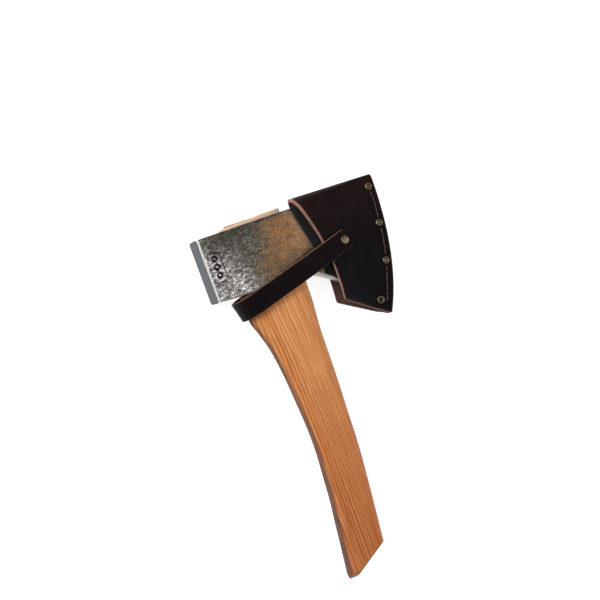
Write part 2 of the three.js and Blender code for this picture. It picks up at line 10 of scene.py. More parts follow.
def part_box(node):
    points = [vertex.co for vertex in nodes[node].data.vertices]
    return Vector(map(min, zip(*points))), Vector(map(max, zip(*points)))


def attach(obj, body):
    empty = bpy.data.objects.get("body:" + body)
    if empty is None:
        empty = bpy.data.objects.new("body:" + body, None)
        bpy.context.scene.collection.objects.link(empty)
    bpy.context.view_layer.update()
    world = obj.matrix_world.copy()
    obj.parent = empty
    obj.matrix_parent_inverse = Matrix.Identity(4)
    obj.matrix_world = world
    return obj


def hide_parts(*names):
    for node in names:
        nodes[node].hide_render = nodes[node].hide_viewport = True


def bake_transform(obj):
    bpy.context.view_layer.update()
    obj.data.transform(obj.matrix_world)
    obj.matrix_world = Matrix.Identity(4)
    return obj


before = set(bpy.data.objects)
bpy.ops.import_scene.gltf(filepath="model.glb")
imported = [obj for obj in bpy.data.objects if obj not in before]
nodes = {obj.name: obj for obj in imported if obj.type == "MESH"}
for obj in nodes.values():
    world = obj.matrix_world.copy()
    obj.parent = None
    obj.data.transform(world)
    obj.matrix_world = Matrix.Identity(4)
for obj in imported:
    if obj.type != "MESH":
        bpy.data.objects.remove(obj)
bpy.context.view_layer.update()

MM = 0.001

# The head frame: X = 0 at the poll's face, Y = 0 at the head's top, Z = 0 at the mid-plane, in millimetres
head_low, head_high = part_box("axe_head")
ORIGIN = Vector((head_low.x, head_high.y, (head_low.z + head_high.z) / 2))

random.seed(7)


def lerp(a, b, t):
    return a + (b - a) * t


def smooth(low, high, value):
    t = np.clip((value - low) / (high - low), 0, 1)
    return t * t * (3 - 2 * t)


def cubic(a, b, c, d, t):
    t = np.asarray(t, float)[..., None]
    s = 1 - t
    return s**3 * np.array(a) + 3 * s * s * t * np.array(b) + 3 * s * t * t * np.array(c) + t**3 * np.array(d)


def travelled(line):
    """The distance from a line's start to each of its points."""
    return np.concatenate([[0], np.cumsum(np.linalg.norm(np.diff(line, axis=0), axis=1))])


def rough(point, size, seed=0.0):
    """Smooth noise between about -1 and 1, with features of the given size in millimetres."""
    p = Vector(point) / size
    return noise.noise(p + Vector((seed, seed * 1.7, -seed)))


# ---- meshes


def make(
    name, points, faces, body, materials, parts=None, attributes=None, sharp=35, stands_for=(), slot=None,
):
    """A mesh object from points in the head frame (mm), riding on a body unless body is None."""
    mesh = bpy.data.meshes.new(name)
    placed = np.asarray(points, float) * MM + np.array(ORIGIN)
    mesh.from_pydata(placed.tolist(), [], [tuple(f) for f in faces])
    for material in materials:
        mesh.materials.append(material)
    if parts is not None:
        mesh.polygons.foreach_set("material_index", np.asarray(parts, np.int32))
    mesh.polygons.foreach_set("use_smooth", np.ones(len(mesh.polygons), bool))
    for key, values in (attributes or {}).items():
        values = np.asarray(values, np.float32)
        kind = "FLOAT_VECTOR" if values.ndim == 2 else "FLOAT"
        layer = mesh.attributes.new(key, kind, "POINT")
        layer.data.foreach_set("vector" if values.ndim == 2 else "value", values.ravel())
    mesh.update()
    mesh.set_sharp_from_angle(angle=math.radians(sharp))
    piece = bpy.data.objects.new(name, mesh)
    bpy.context.scene.collection.objects.link(piece)
    if body:
        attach(piece, body)
    if stands_for:
        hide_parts(*stands_for)
    correct(piece)
    return piece


def grid_faces(rows, columns, base=0, wrap=False, flip=False):
    faces = []
    last = columns if wrap else columns - 1
    for i in range(rows - 1):
        for j in range(last):
            k = (j + 1) % columns
            above, below = base + i * columns, base + (i + 1) * columns
            face = (above + j, above + k, below + k, below + j)
            faces.append(face[::-1] if flip else face)
    return faces


def tube_faces(rows, columns, base=0):
    """The faces of a tube from rings of vertices, with its two ends."""
    last = base + (rows - 1) * columns
    ends = [tuple(range(base, base + columns))[::-1], tuple(range(last, last + columns))]
    return grid_faces(rows, columns, base, wrap=True) + ends


def border(rows, columns):
    """The (row, column) pairs round a grid's border, in order."""
    loop = [(i, 0) for i in range(rows)] + [(rows - 1, j) for j in range(1, columns)]
    loop += [(i, columns - 1) for i in range(rows - 2, -1, -1)]
    return loop + [(0, j) for j in range(columns - 2, 0, -1)]


def bands(rings):
    """The faces between closed rings of vertex numbers."""
    faces = []
    for a, b in zip(rings, rings[1:]):
        n = len(a)
        faces += [(a[q], a[(q + 1) % n], b[(q + 1) % n], b[q]) for q in range(n)]
    return faces


def carve(piece, cutter):
    """Cuts the cutter out of the piece and drops the cutter."""
    modifier = piece.modifiers.new("carve", "BOOLEAN")
    modifier.object = cutter
    modifier.operation = "DIFFERENCE"
    modifier.solver = "EXACT"
    settle(piece)
    bpy.data.objects.remove(cutter)


def read(mesh, key, width=1):
    values = np.zeros(len(mesh.vertices) * width, np.float32)
    mesh.attributes[key].data.foreach_get("value" if width == 1 else "vector", values)
    return values if width == 1 else values.reshape(-1, width)


def settle(piece, sharp=None):
    """Applies the piece's modifiers to its mesh."""
    bpy.context.view_layer.update()
    graph = bpy.context.evaluated_depsgraph_get()
    mesh = bpy.data.meshes.new_from_object(piece.evaluated_get(graph), depsgraph=graph)
    piece.modifiers.clear()
    old = piece.data
    piece.data = mesh
    bpy.data.meshes.remove(old)
    if sharp:
        mesh.set_sharp_from_angle(angle=math.radians(sharp))


def prism(outline, low, high, along="Z", material=None):
    """A closed prism from an outline in the head frame, for cutting with."""
    points = []
    for level in (low, high):
        for a, b in outline:
            points.append((a, b, level) if along == "Z" else (a, level, b))
    n = len(outline)
    faces = [tuple(range(n))[::-1], tuple(range(n, 2 * n))]
    faces += [(i, (i + 1) % n, n + (i + 1) % n, n + i) for i in range(n)]
    return make("cutter", points, faces, None, [material] if material else [])


def tapered(outline, top, bottom, narrowing, middle=0):
    """A four-sided cutter from an outline in X and Z, narrowing in each towards its bottom."""
    points = [(x, top, z) for x, z in outline]
    for x, z in outline:
        points.append((middle + (x - middle) * narrowing[0], bottom, z * narrowing[1]))
    box = [(0, 1, 2, 3), (7, 6, 5, 4), (0, 4, 5, 1), (1, 5, 6, 2), (2, 6, 7, 3), (3, 7, 4, 0)]
    return make("cutter", points, box, None, [])


def correct(piece):
    """Turns every face outward."""
    work = bmesh.new()
    work.from_mesh(piece.data)
    bmesh.ops.recalc_face_normals(work, faces=work.faces)
    work.to_mesh(piece.data)
    work.free()


def turned(name, profile, place, body, materials, segments=44, wobble=0.0, groove=(0, 0), **more):
    """A turned piece from (radius, height) pairs, placed in the head frame, with painted shade in its groove.
    """
    points, sunk = [], []
    for r, z in profile:
        for k in range(segments):
            a = 2 * math.pi * k / segments
            sunk.append(0.85 if groove[0] < r < groove[1] and z > 0 else 0.0)
            w = 1 + wobble * rough((r * math.cos(a) + 40, r * math.sin(a), z), 2.0, len(name))
            p = place @ Vector((r * w * math.cos(a), r * w * math.sin(a), z))
            points.append(tuple(p))
    faces = tube_faces(len(profile), segments)
    return make(name, points, faces, body, materials, sharp=40, attributes={"sunk": sunk}, **more)


# ---- materials


def linear(colour):
    """Linear light from a colour in 0 to 255 display values, or a number as it is, or a socket as it is."""
    if isinstance(colour, bpy.types.NodeSocket):
        return colour
    if not isinstance(colour, tuple):
        return (colour, colour, colour, 1)
    return (*(v / 255 / 12.92 if v <= 10 else ((v / 255 + 0.055) / 1.055) ** 2.4 for v in colour), 1)


class Paint:
    """Builds one procedural material. Its colours are in 0 to 255 display values."""

    def __init__(self, name):
        self.material = bpy.data.materials.new(name)
        self.material.use_nodes = True
        self.tree = self.material.node_tree
        self.tree.nodes.clear()
        self.shader = self.tree.nodes.new("ShaderNodeBsdfPrincipled")
        out = self.tree.nodes.new("ShaderNodeOutputMaterial")
        self.tree.links.new(self.shader.outputs["BSDF"], out.inputs["Surface"])
        self.place = self.tree.nodes.new("ShaderNodeTexCoord").outputs["Object"]

    def set(self, **values):
        for key, value in values.items():
            self.put(self.shader, key.replace("_", " "), value)

    def put(self, node, index, value):
        if isinstance(value, bpy.types.NodeSocket):
            self.tree.links.new(value, node.inputs[index])
        else:
            node.inputs[index].default_value = value

    def add(self, kind, out, **values):
        """One output of a new node, whose inputs are set or linked by their names."""
        node = self.tree.nodes.new("ShaderNode" + kind)
        for key, value in values.items():
            self.put(node, key, value)
        return node.outputs[out]

    def scaled(self, vector, scale, turn=(0, 0, 0)):
        return self.add("Mapping", "Vector", Vector=vector, Rotation=turn, Scale=scale)

    def noise(self, scale, detail=4.0, roughness=0.55, warp=0.0, vector=None):
        values = {"Scale": scale, "Detail": detail, "Roughness": roughness, "Distortion": warp}
        return self.add("TexNoise", "Fac", Vector=self.place if vector is None else vector, **values)

    def cells(self, scale):
        return self.add("TexVoronoi", "Distance", Vector=self.place, Scale=scale)

    def attribute(self, name, out="Fac"):
        node = self.tree.nodes.new("ShaderNodeAttribute")
        node.attribute_name = name
        return node.outputs[out]

    def ramp(self, value, *stops):
        node = self.tree.nodes.new("ShaderNodeValToRGB")
        self.put(node, "Fac", value)
        elements = node.color_ramp.elements
        while len(elements) < len(stops):
            elements.new(0.5)
        for element, (at, colour) in zip(elements, stops):
            element.position = at
            element.color = linear(colour)
        return node.outputs["Color"]

    def mix(self, amount, a, b, kind="MIX"):
        node = self.tree.nodes.new("ShaderNodeMix")
        node.data_type = "RGBA"
        node.blend_type = kind
        node.clamp_factor = True
        self.put(node, 0, amount)
        self.put(node, 6, linear(a))
        self.put(node, 7, linear(b))
        return node.outputs[2]

    def sum(self, kind, a, b=0.5, c=0.5, clamp=False):
        node = self.tree.nodes.new("ShaderNodeMath")
        node.operation = kind
        node.use_clamp = clamp
        self.put(node, 0, a)
        self.put(node, 1, b)
        if kind == "MULTIPLY_ADD":
            self.put(node, 2, c)
        return node.outputs[0]

    def bump(self, height, strength, distance, under=None):
        values = {"Height": height, "Strength": strength, "Distance": distance}
        if under is not None:
            values["Normal"] = under
        return self.add("Bump", "Normal", **values)


def forged_steel():
    """Dark forge scale with bare silvery patches and an orange-brown patina, pitted all over. Painted glints
    brighten the silvery patches, a painted highlight lies along the beard's lower side, and painted shadow
    lies beside the sheath's mouth and beside the strap.
    """
    p = Paint("forged_steel")
    scale_and_shade, bared_and_highlight, bare_poll = (p.attribute(name) for name in ("scale_and_shade", "ground_and_highlight", "poll"))
    dull = p.ramp(scale_and_shade, (0.62, 0.0), (0.95, 1.0))
    fine = p.noise(800, 6, 0.65)
    hammered = p.noise(1.0, 3, 0.6, 0.7, vector=p.scaled(p.place, (240, 420, 330), (0, 0, 0.4)))
    mottle = p.sum("MULTIPLY_ADD", p.noise(760, 6, 0.7, 0.7), 0.55, p.sum("MULTIPLY", hammered, 0.45))
    broad = p.noise(60, 3, 0.5)
    pits = p.cells(560)
    grey = p.ramp(mottle, (0.38, (48, 47, 44)), (0.51, (94, 91, 83)), (0.63, (152, 146, 134)))
    # The bare silvery patches, whose brightest stops are painted glints
    silver_and_glints = p.ramp(mottle, (0.4, (78, 76, 75)), (0.5, (156, 153, 150)), (0.6, (252, 249, 245)))
    rust = p.ramp(fine, (0.3, (68, 46, 24)), (0.5, (152, 104, 50)), (0.7, (214, 152, 76)))
    silvery = p.sum("MULTIPLY", p.attribute("silver_and_glints"), p.sum("MULTIPLY_ADD", broad, 1.3, 0.3), clamp=True)
    tone = p.mix(silvery, grey, silver_and_glints)
    rust = p.mix(p.ramp(p.noise(150, 4, 0.6), (0.35, 0.55), (0.6, 0.0)), rust, (92, 58, 32))
    flecks = p.ramp(p.noise(380, 6, 0.75, 0.4), (0.34, 0.15), (0.6, 1.0))
    rusty = p.sum("MULTIPLY", p.attribute("patina"), p.sum("MULTIPLY_ADD", flecks, 0.8, 0.2), clamp=True)
    tone = p.mix(rusty, tone, rust)
    # Dark forge scale on the blade under the sheath, and painted shade beside the mouth, along the top and
    # beside the strap, all from one mask
    dark = p.ramp(fine, (0.25, (34, 33, 30)), (0.7, (76, 72, 64)))
    tone = p.mix(scale_and_shade, tone, dark)
    specks = p.ramp(pits, (0.04, 0.45), (0.22, 1.0))
    tone = p.mix(0.6, tone, specks, "MULTIPLY")
    streaks = p.scaled(p.place, (0.15, 1, 1))
    scratches = p.noise(1500, 2, 0.5, vector=streaks)
    # Bright ground steel on the chamfer and the edge bevel, with a painted highlight along the beard's lower
    # side
    bright = p.ramp(scratches, (0.3, (206, 206, 204)), (0.7, (240, 240, 238)))
    tone = p.mix(bared_and_highlight, tone, bright)
    across = p.scaled(p.place, (1, 0.1, 1))
    poll = p.ramp(p.noise(1400, 3, 0.5, vector=across), (0.3, (58, 63, 67)), (0.7, (78, 84, 88)))
    tone = p.mix(bare_poll, tone, poll)
    # Painted shadow: where the mask runs highest, beside the sheath's mouth, the steel goes near black
    shadow = p.sum("ADD", scale_and_shade, p.sum("MULTIPLY_ADD", p.noise(170, 4, 0.6), 0.5, -0.25))
    shadow = p.ramp(shadow, (0.62, 0.0), (0.9, 0.97))
    tone = p.mix(shadow, tone, (9, 10, 11))
    stamped = p.ramp(fine, (0.3, (10, 11, 12)), (0.7, (30, 30, 30)))
    tone = p.mix(p.attribute("mark"), tone, stamped)
    gloss = p.ramp(mottle, (0.35, 0.5), (0.7, 0.3))
    gloss = p.mix(p.attribute("silver_and_glints"), gloss, p.ramp(mottle, (0.38, 0.42), (0.6, 0.22)))
    gloss = p.mix(dull, gloss, 0.8)
    gloss = p.mix(bared_and_highlight, gloss, 0.24)
    gloss = p.mix(bare_poll, gloss, 0.5)
    worked = p.sum("SUBTRACT", 1.0, p.sum("MAXIMUM", bared_and_highlight, bare_poll), clamp=True)
    relief = p.sum("ADD", p.sum("MULTIPLY", fine, 0.6), p.sum("MULTIPLY", pits, 0.9))
    normal = p.bump(p.sum("MULTIPLY", relief, worked), 0.4, 0.0004)
    p.set(Base_Color=tone, Roughness=gloss, Normal=normal)
    metal = p.ramp(rusty, (0.0, 0.95), (0.9, 0.3))
    metal = p.mix(p.sum("MAXIMUM", bared_and_highlight, dull), metal, 0.3)
    p.set(Metallic=metal)
    return p.material


def plain_steel():
    p = Paint("wedge_steel")
    tone = p.ramp(p.noise(700, 4, 0.6), (0.3, (120, 118, 115)), (0.7, (190, 188, 184)))
    p.set(Base_Color=tone, Roughness=p.ramp(p.noise(300, 3), (0.3, 0.35), (0.7, 0.6)), Metallic=0.9)
    p.set(Normal=p.bump(p.noise(1200, 4), 0.3, 0.0002))
    return p.material


def oiled_wood(name, pale, light, middle, dark, line):
    """Straight-grained ash: growth rings along the handle, with fine pores. Coordinates follow the grain."""
    p = Paint(name)
    grain = p.attribute("grain", "Vector")
    split = p.tree.nodes.new("ShaderNodeSeparateXYZ")
    p.put(split, 0, grain)
    sway = p.noise(1.0, 2.0, 0.5, 0.0, vector=p.scaled(grain, (0.13, 0.004, 0.05)))
    wiggle = p.noise(1.0, 4.0, 0.65, 0.3, vector=p.scaled(grain, (0.32, 0.05, 0.2)))
    phase = p.sum("MULTIPLY_ADD", split.outputs[0], 2.5, p.sum("MULTIPLY", sway, 8.0))
    phase = p.sum("MULTIPLY_ADD", wiggle, 4.2, phase)
    rings = p.sum("MULTIPLY_ADD", p.sum("SINE", phase), 0.5, 0.5)
    uneven = p.noise(1.0, 2, 0.5, 0.0, vector=p.scaled(grain, (0.5, 0.007, 0.1)))
    strength = p.ramp(uneven, (0.3, 0.35), (0.6, 1.0))
    broad = p.noise(1.0, 2.5, 0.5, 0.1, vector=p.scaled(grain, (0.16, 0.005, 0.06)))
    fibres = p.noise(1.0, 4, 0.65, 0.0, vector=p.scaled(grain, (5.5, 0.16, 2.0)))
    pores = p.noise(1.0, 3, 0.7, 0.0, vector=p.scaled(grain, (3.2, 0.09, 1.2)))
    tone = p.ramp(broad, (0.32, middle), (0.62, light))
    tone = p.mix(p.ramp(broad, (0.56, 0.0), (0.7, 0.5)), tone, dark)
    striped = p.sum("MULTIPLY", p.ramp(rings, (0.25, 0.0), (1.0, 0.8)), p.attribute("stripes"), clamp=True)
    striped = p.sum("MULTIPLY", striped, strength)
    tone = p.mix(striped, tone, line)
    tone = p.mix(p.ramp(pores, (0.52, 0.0), (0.68, 0.45)), tone, line)
    streaks = p.noise(1.0, 3, 0.6, 0.0, vector=p.scaled(grain, (1.3, 0.02, 0.6)))
    tone = p.mix(p.ramp(streaks, (0.5, 0.0), (0.68, 0.45)), tone, line)
    tone = p.mix(p.ramp(streaks, (0.3, 0.4), (0.46, 0.0)), tone, pale)
    tone = p.mix(p.ramp(fibres, (0.25, 0.35), (0.45, 0.0)), tone, light)
    blotch = p.noise(40, 3, 0.5)
    tone = p.mix(p.ramp(blotch, (0.35, 0.0), (0.75, 0.25)), tone, dark)
    # Painted shade: darker towards the butt and towards the front edge
    tone = p.mix(p.attribute("shade_falloff"), tone, p.mix(0.75, tone, dark, "MULTIPLY"))
    tone = p.mix(p.attribute("shade"), tone, p.mix(0.97, tone, (82, 66, 52), "MULTIPLY"))
    raw = p.ramp(fibres, (0.3, (190, 152, 120)), (0.7, (238, 210, 180)))
    tone = p.mix(p.attribute("raw"), tone, raw)
    ends = p.noise(1.0, 4, 0.6, vector=p.scaled(grain, (2.2, 0.3, 0.5)))
    cut = p.ramp(ends, (0.35, (92, 54, 26)), (0.65, (158, 102, 56)))
    tone = p.mix(p.attribute("endgrain"), tone, cut)
    relief = p.sum("ADD", p.sum("MULTIPLY", fibres, 0.7), p.sum("MULTIPLY", rings, 0.3))
    p.set(Base_Color=tone, Roughness=p.ramp(fibres, (0.3, 0.4), (0.7, 0.55)))
    p.set(Normal=p.bump(relief, 0.25, 0.0003))
    p.set(IOR=1.25)
    return p.material


def dark_leather():
    """Waxed near-black brown leather, with fine grain, creases, brown showing where it is worn, and painted
    light making it browner towards the top.
    """
    p = Paint("dark_leather")
    grain = p.cells(1500)
    pebble = p.noise(700, 5, 0.65)
    cloud = p.noise(38, 4, 0.55, 0.3)
    tone = p.ramp(cloud, (0.32, (7, 5, 8)), (0.6, (11, 7, 10)), (0.8, (17, 10, 12)))
    # Painted light: the leather turns browner towards the top
    top_light = p.sum("MULTIPLY", p.attribute("warm"), p.ramp(p.noise(90, 4, 0.6), (0.3, 0.5), (0.7, 1.0)))
    tone = p.mix(top_light, tone, (38, 20, 18))
    edge = p.sum("MULTIPLY", p.attribute("edge"), p.ramp(p.noise(350, 4, 0.7), (0.4, 0.0), (0.65, 0.7)))
    tone = p.mix(edge, tone, (66, 42, 34))
    tone = p.mix(p.ramp(pebble, (0.55, 0.0), (0.8, 0.35)), tone, (7, 5, 7))
    slant = p.scaled(p.place, (180, 620, 300), (0, 0, 0.5))
    scuff = p.ramp(p.noise(1.0, 5, 0.7, 0.5, vector=slant), (0.64, 0.0), (0.76, 0.35))
    tone = p.mix(scuff, tone, (44, 32, 30))
    relief = p.sum("ADD", p.sum("MULTIPLY", grain, 0.5), p.sum("MULTIPLY", pebble, 0.8))
    normal = p.bump(relief, 0.3, 0.00035)
    normal = p.bump(p.noise(75, 3, 0.5, 0.4), 0.22, 0.0012, under=normal)
    p.set(Base_Color=tone, Roughness=p.ramp(cloud, (0.3, 0.42), (0.75, 0.58)), Normal=normal)
    p.set(Specular_IOR_Level=0.06)
    return p.material


def raw_edge():
    """The cut edge of the leather: pinkish tan fibres, darker where the dye has soaked in, and with painted
    shade along the strap's lower edge and rounded end.
    """
    p = Paint("raw_leather_edge")
    fibres = p.noise(900, 6, 0.7)
    tone = p.ramp(fibres, (0.25, (112, 76, 66)), (0.5, (156, 112, 98)), (0.75, (196, 152, 134)))
    tone = p.mix(p.ramp(p.noise(120, 4, 0.6), (0.4, 0.0), (0.7, 0.35)), tone, (96, 58, 50))
    # The rim mask: dye on the sheath's sewn and lower edges, painted shade on the strap's lower edge and
    # rounded end
    tone = p.mix(p.attribute("rim"), tone, p.ramp(fibres, (0.3, (14, 10, 11)), (0.7, (44, 28, 25))))
    p.set(Base_Color=tone, Roughness=0.8, Normal=p.bump(fibres, 0.5, 0.0004))
    return p.material


def flesh_side():
    """The inside of the leather: napped, maroon-brown."""
    p = Paint("leather_inside")
    nap = p.noise(650, 6, 0.7, 0.3)
    tone = p.ramp(nap, (0.3, (52, 34, 32)), (0.55, (86, 58, 52)), (0.75, (116, 82, 74)))
    p.set(Base_Color=tone, Roughness=0.92, Normal=p.bump(nap, 0.6, 0.0005))
    p.set(Sheen_Weight=0.15)
    return p.material


def bronze(name, light, dark):
    p = Paint(name)
    wear = p.noise(1300, 5, 0.6)
    tone = p.ramp(wear, (0.32, dark), (0.66, light))
    tone = p.mix(p.ramp(p.noise(500, 3), (0.5, 0.0), (0.72, 0.6)), tone, (58, 46, 34))
    # Painted shade in the rivet's groove or hollow
    tone = p.mix(p.attribute("sunk"), tone, (26, 21, 16))
    p.set(Base_Color=tone, Metallic=1.0, Roughness=p.ramp(wear, (0.3, 0.5), (0.7, 0.3)))
    p.set(Normal=p.bump(p.noise(2600, 4), 0.3, 0.00015))
    return p.material


def waxed_thread():
    p = Paint("waxed_thread")
    twist = p.noise(2200, 4, 0.6)
    tone = p.ramp(twist, (0.3, (54, 34, 29)), (0.7, (112, 72, 60)))
    p.set(Base_Color=tone, Roughness=0.62, Normal=p.bump(twist, 0.5, 0.0002))
    return p.material


STEEL = forged_steel()
WEDGE_STEEL = plain_steel()
WOOD = oiled_wood(
    "oiled_ash", pale=(250, 192, 136), light=(240, 172, 110), middle=(224, 148, 84),
    dark=(188, 110, 54), line=(148, 84, 40),
)
WEDGE_WOOD = oiled_wood(
    "wedge_wood", pale=(204, 154, 108), light=(190, 140, 94), middle=(160, 108, 66),
    dark=(122, 76, 42), line=(84, 48, 24),
)
LEATHER = dark_leather()
EDGE = raw_edge()
FLESH = flesh_side()
BRONZE = bronze("antique_bronze", (142, 128, 102), (82, 72, 54))
# The strap rivet's bronze, set lighter than the edge rivets'
PALE_BRONZE = bronze("lighter_bronze", (152, 130, 108), (112, 92, 74))
DARK_BRONZE = bronze("dark_bronze", (128, 118, 96), (52, 46, 36))
THREAD = waxed_thread()

# ---- head

HEAD_HALF, THROAT_HALF, BEVEL_HALF, EDGE_HALF = 13.5, 6.6, 1.9, 0.2
THROAT_START, BLADE_START, BEVEL_START, EDGE_END = 66, 92, 137, 144.5
HEAD_HEIGHT, BEARD_START = 50, 80
TOE = np.array((EDGE_END, -1.0))
HEEL = np.array((122.5, -88.0))
CHAMFER = 1.4
EYE_MIDDLE, EYE_LONG, EYE_HALF = 48, 26, 8.5
MARK_AT, MARK_HALF, MARK_PITCH = (8.2, -24.6), (5.4, 11.4), 6.4
PUNCH_AT = (4.1, -36.9)


def head_half(s):
    """Half the head's thickness at a distance from the poll."""
    s = np.asarray(s, float)
    half = np.full_like(s, HEAD_HALF)
    throat = lerp(HEAD_HALF, THROAT_HALF, smooth(THROAT_START, BLADE_START, s))
    blade = lerp(THROAT_HALF, BEVEL_HALF, (s - BLADE_START) / (BEVEL_START - BLADE_START))
    bevel = lerp(BEVEL_HALF, EDGE_HALF, (s - BEVEL_START) / (EDGE_END - BEVEL_START))
    half = np.where(s >= THROAT_START, throat, half)
    half = np.where(s >= BLADE_START, blade, half)
    return np.where(s >= BEVEL_START, bevel, half)


def head_bottom(x):
    """The lower outline: nearly level under the eye, then falling away into the beard."""
    past = np.maximum(0, x - BEARD_START)
    return -HEAD_HEIGHT - 0.05 * np.minimum(x, BEARD_START) - 0.5 * past - 0.0071 * past * past


def head_point(s, v):
    """The head's outline plane: s from poll to edge, v from the top line down to the lower one."""
    u = s / EDGE_END
    late = np.maximum(0, (u - 0.5) / 0.5)
    bottom_x = s - (EDGE_END - HEEL[0]) * late * late
    top = np.stack([s, -u], -1)
    bottom = np.stack([bottom_x, head_bottom(bottom_x)], -1)
    point = top * (1 - v[..., None]) + bottom * v[..., None]
    bulge = cubic(TOE, (146, -30), (143.5, -62), HEEL, v) - (TOE * (1 - v[..., None]) + HEEL * v[..., None])
    return point + bulge * smooth(0.55, 1, u)[..., None]


def inside_box(x, y, centre, half, radius):
    """Distance inside a rounded box, in millimetres: positive inside."""
    dx = np.abs(x - centre[0]) - (half[0] - radius)
    dy = np.abs(y - centre[1]) - (half[1] - radius)
    outside = np.hypot(np.maximum(dx, 0), np.maximum(dy, 0))
    return radius - outside - np.minimum(np.maximum(dx, dy), 0)


def forged_head():
    """The head as one closed mesh: two sides with the hammered surface and the mark, joined by a rim."""
    # Columns from poll to edge, closest at the chamfer and the mark, and rows closest at both rims
    columns = np.concatenate([
        np.linspace(0, CHAMFER, 4)[:-1], np.linspace(CHAMFER, 3, 5)[:-1], np.arange(3, 19, 0.32),
        np.arange(19, BEVEL_START - 0.5, 0.75), np.linspace(BEVEL_START, EDGE_END, 12),
    ])
    rows = np.concatenate([
        np.linspace(0, 0.045, 7)[:-1], np.linspace(0.045, 0.955, 118), np.linspace(0.955, 1, 7)[1:],
    ])
    s, v = np.meshgrid(columns, rows, indexing="ij")
    flat = head_point(s, v)
    x, y = flat[..., 0], flat[..., 1]
    half = head_half(s)
    length = np.abs(head_point(s, np.ones_like(v))[..., 1] - head_point(s, np.zeros_like(v))[..., 1])
    from_top, from_bottom = v * length, (1 - v) * length
    rim = np.minimum(from_top, from_bottom)
    radius = np.minimum(lerp(2.4, 1.1, smooth(1, 8, s)), half * 0.6)
    short = np.clip(radius - rim, 0, None)
    rounded = half - (radius - np.sqrt(np.maximum(radius**2 - short**2, 0)))
    rounded = rounded - np.clip(CHAMFER - s, 0, None)
    worked = smooth(1.85, 3.2, s) * smooth(0.4, 2.0, rim)
    heavy = lerp(1.0, 0.12, smooth(14, 40, x + (y + 34) * 0.35)) * worked
    light = worked * (1 - smooth(128, 137, s))
    panel = inside_box(x, y, MARK_AT, MARK_HALF, 2.4)
    dot_at = np.hypot(x - PUNCH_AT[0], y - PUNCH_AT[1])
    heavy = heavy * (1 - 0.6 * smooth(-1.5, 0.5, panel)) * (1 - 0.8 * (1 - smooth(1.8, 2.8, dot_at)))
    sides = []
    mark = np.zeros_like(x)
    for sign in (1, -1):
        bumps = np.zeros_like(x)
        for i in range(x.shape[0]):
            for j in range(x.shape[1]):
                at = (x[i, j], y[i, j], 30.0 * sign)
                bumps[i, j] = (
                    heavy[i, j] * (0.16 * rough(at, 1.4, 3) + 0.15 * rough(at, 3.6, 5))
                    + light[i, j] * (0.015 * rough(at, 2.0, 9) + 0.1 * rough(at, 11, 1))
                )
        z = rounded + bumps
        if sign > 0:
            raised = smooth(-0.8, -0.2, panel) * (1 - smooth(-0.1, 0.3, panel))
            z = z - 0.5 * smooth(0, 0.5, panel) + 0.25 * raised
            mark = 0.75 * (1 - smooth(0.25, 0.6, np.abs(panel - 0.15)))
            for k in (-1, 0, 1):
                across, down = x - MARK_AT[0] - 0.4, y - MARK_AT[1] - 0.4 - MARK_PITCH * k
                lozenge = np.abs(np.abs(across) + np.abs(down) - 2.6) * 0.75
                ring = np.abs(np.hypot(across, down) - 1.75) if k else lozenge
                line = 1 - smooth(0.45, 0.95, ring)
                z = z - 0.55 * line
                mark = np.maximum(mark, line)
            dot = 1 - smooth(0.35, 0.75, np.abs(dot_at - 1.2))
            z = z - 0.3 * dot
            mark = np.maximum(mark, 0.8 * dot)
        sides.append(z * sign)
    patina = smooth(34, 58, x + 6 * np.sin(y / 9)) * (1 - smooth(84, 101, x)) * (1 - smooth(-1, 3, y + 2))
    patina = patina * (1 - 0.55 * smooth(30, 50, -y)) * smooth(0.5, 4, from_top)
    # Where the bare silvery steel shows, with painted glints on it
    silver_and_glints = (1 - smooth(14, 40, x + (y + 34) * 0.5)) * smooth(8, 22, -y) + 0.3 * (1 - smooth(3, 9, x))
    ground_and_highlight = smooth(0.05, 0.3, s) * (1 - smooth(1.35, 1.7, s))
    # Painted highlight: a pale band along the beard's lower side, taken in with the bright ground steel
    beard_highlight = (1 - smooth(1.3, 2.3, from_bottom)) * smooth(BEARD_START - 2, BEARD_START + 4, x)
    bevelled = smooth(BEVEL_START - 0.4, BEVEL_START + 0.4, s)
    ground_and_highlight = np.maximum(ground_and_highlight, np.maximum(bevelled, 0.5 * beard_highlight))
    # Painted shadow: a band just in front of the sheath's mouth is made near black, while the blade past the
    # mouth gets dark forge scale
    mouth_x = np.interp(-y, (-7, 10, 30, 50, 82), (84, 88.5, 94, 97, 97))
    beside = smooth(mouth_x - 10.5, mouth_x - 5.5, x)
    past = smooth(mouth_x - 1, mouth_x + 7, x)
    scale_and_shade = (0.97 - 0.37 * past) * beside * (1 - smooth(BEVEL_START - 3, BEVEL_START, s)) * (1 - ground_and_highlight)
    # A thin darker line along the top rim, and a darker patch near the top between x 10 and 60
    scale_and_shade = scale_and_shade + 0.5 * (1 - smooth(0.3, 1.5, from_top))
    darker_near_top = (1 - smooth(2, 12, from_top)) * smooth(10, 18, x) * (1 - smooth(40, 60, x))
    scale_and_shade = np.maximum(scale_and_shade, 0.55 * darker_near_top)
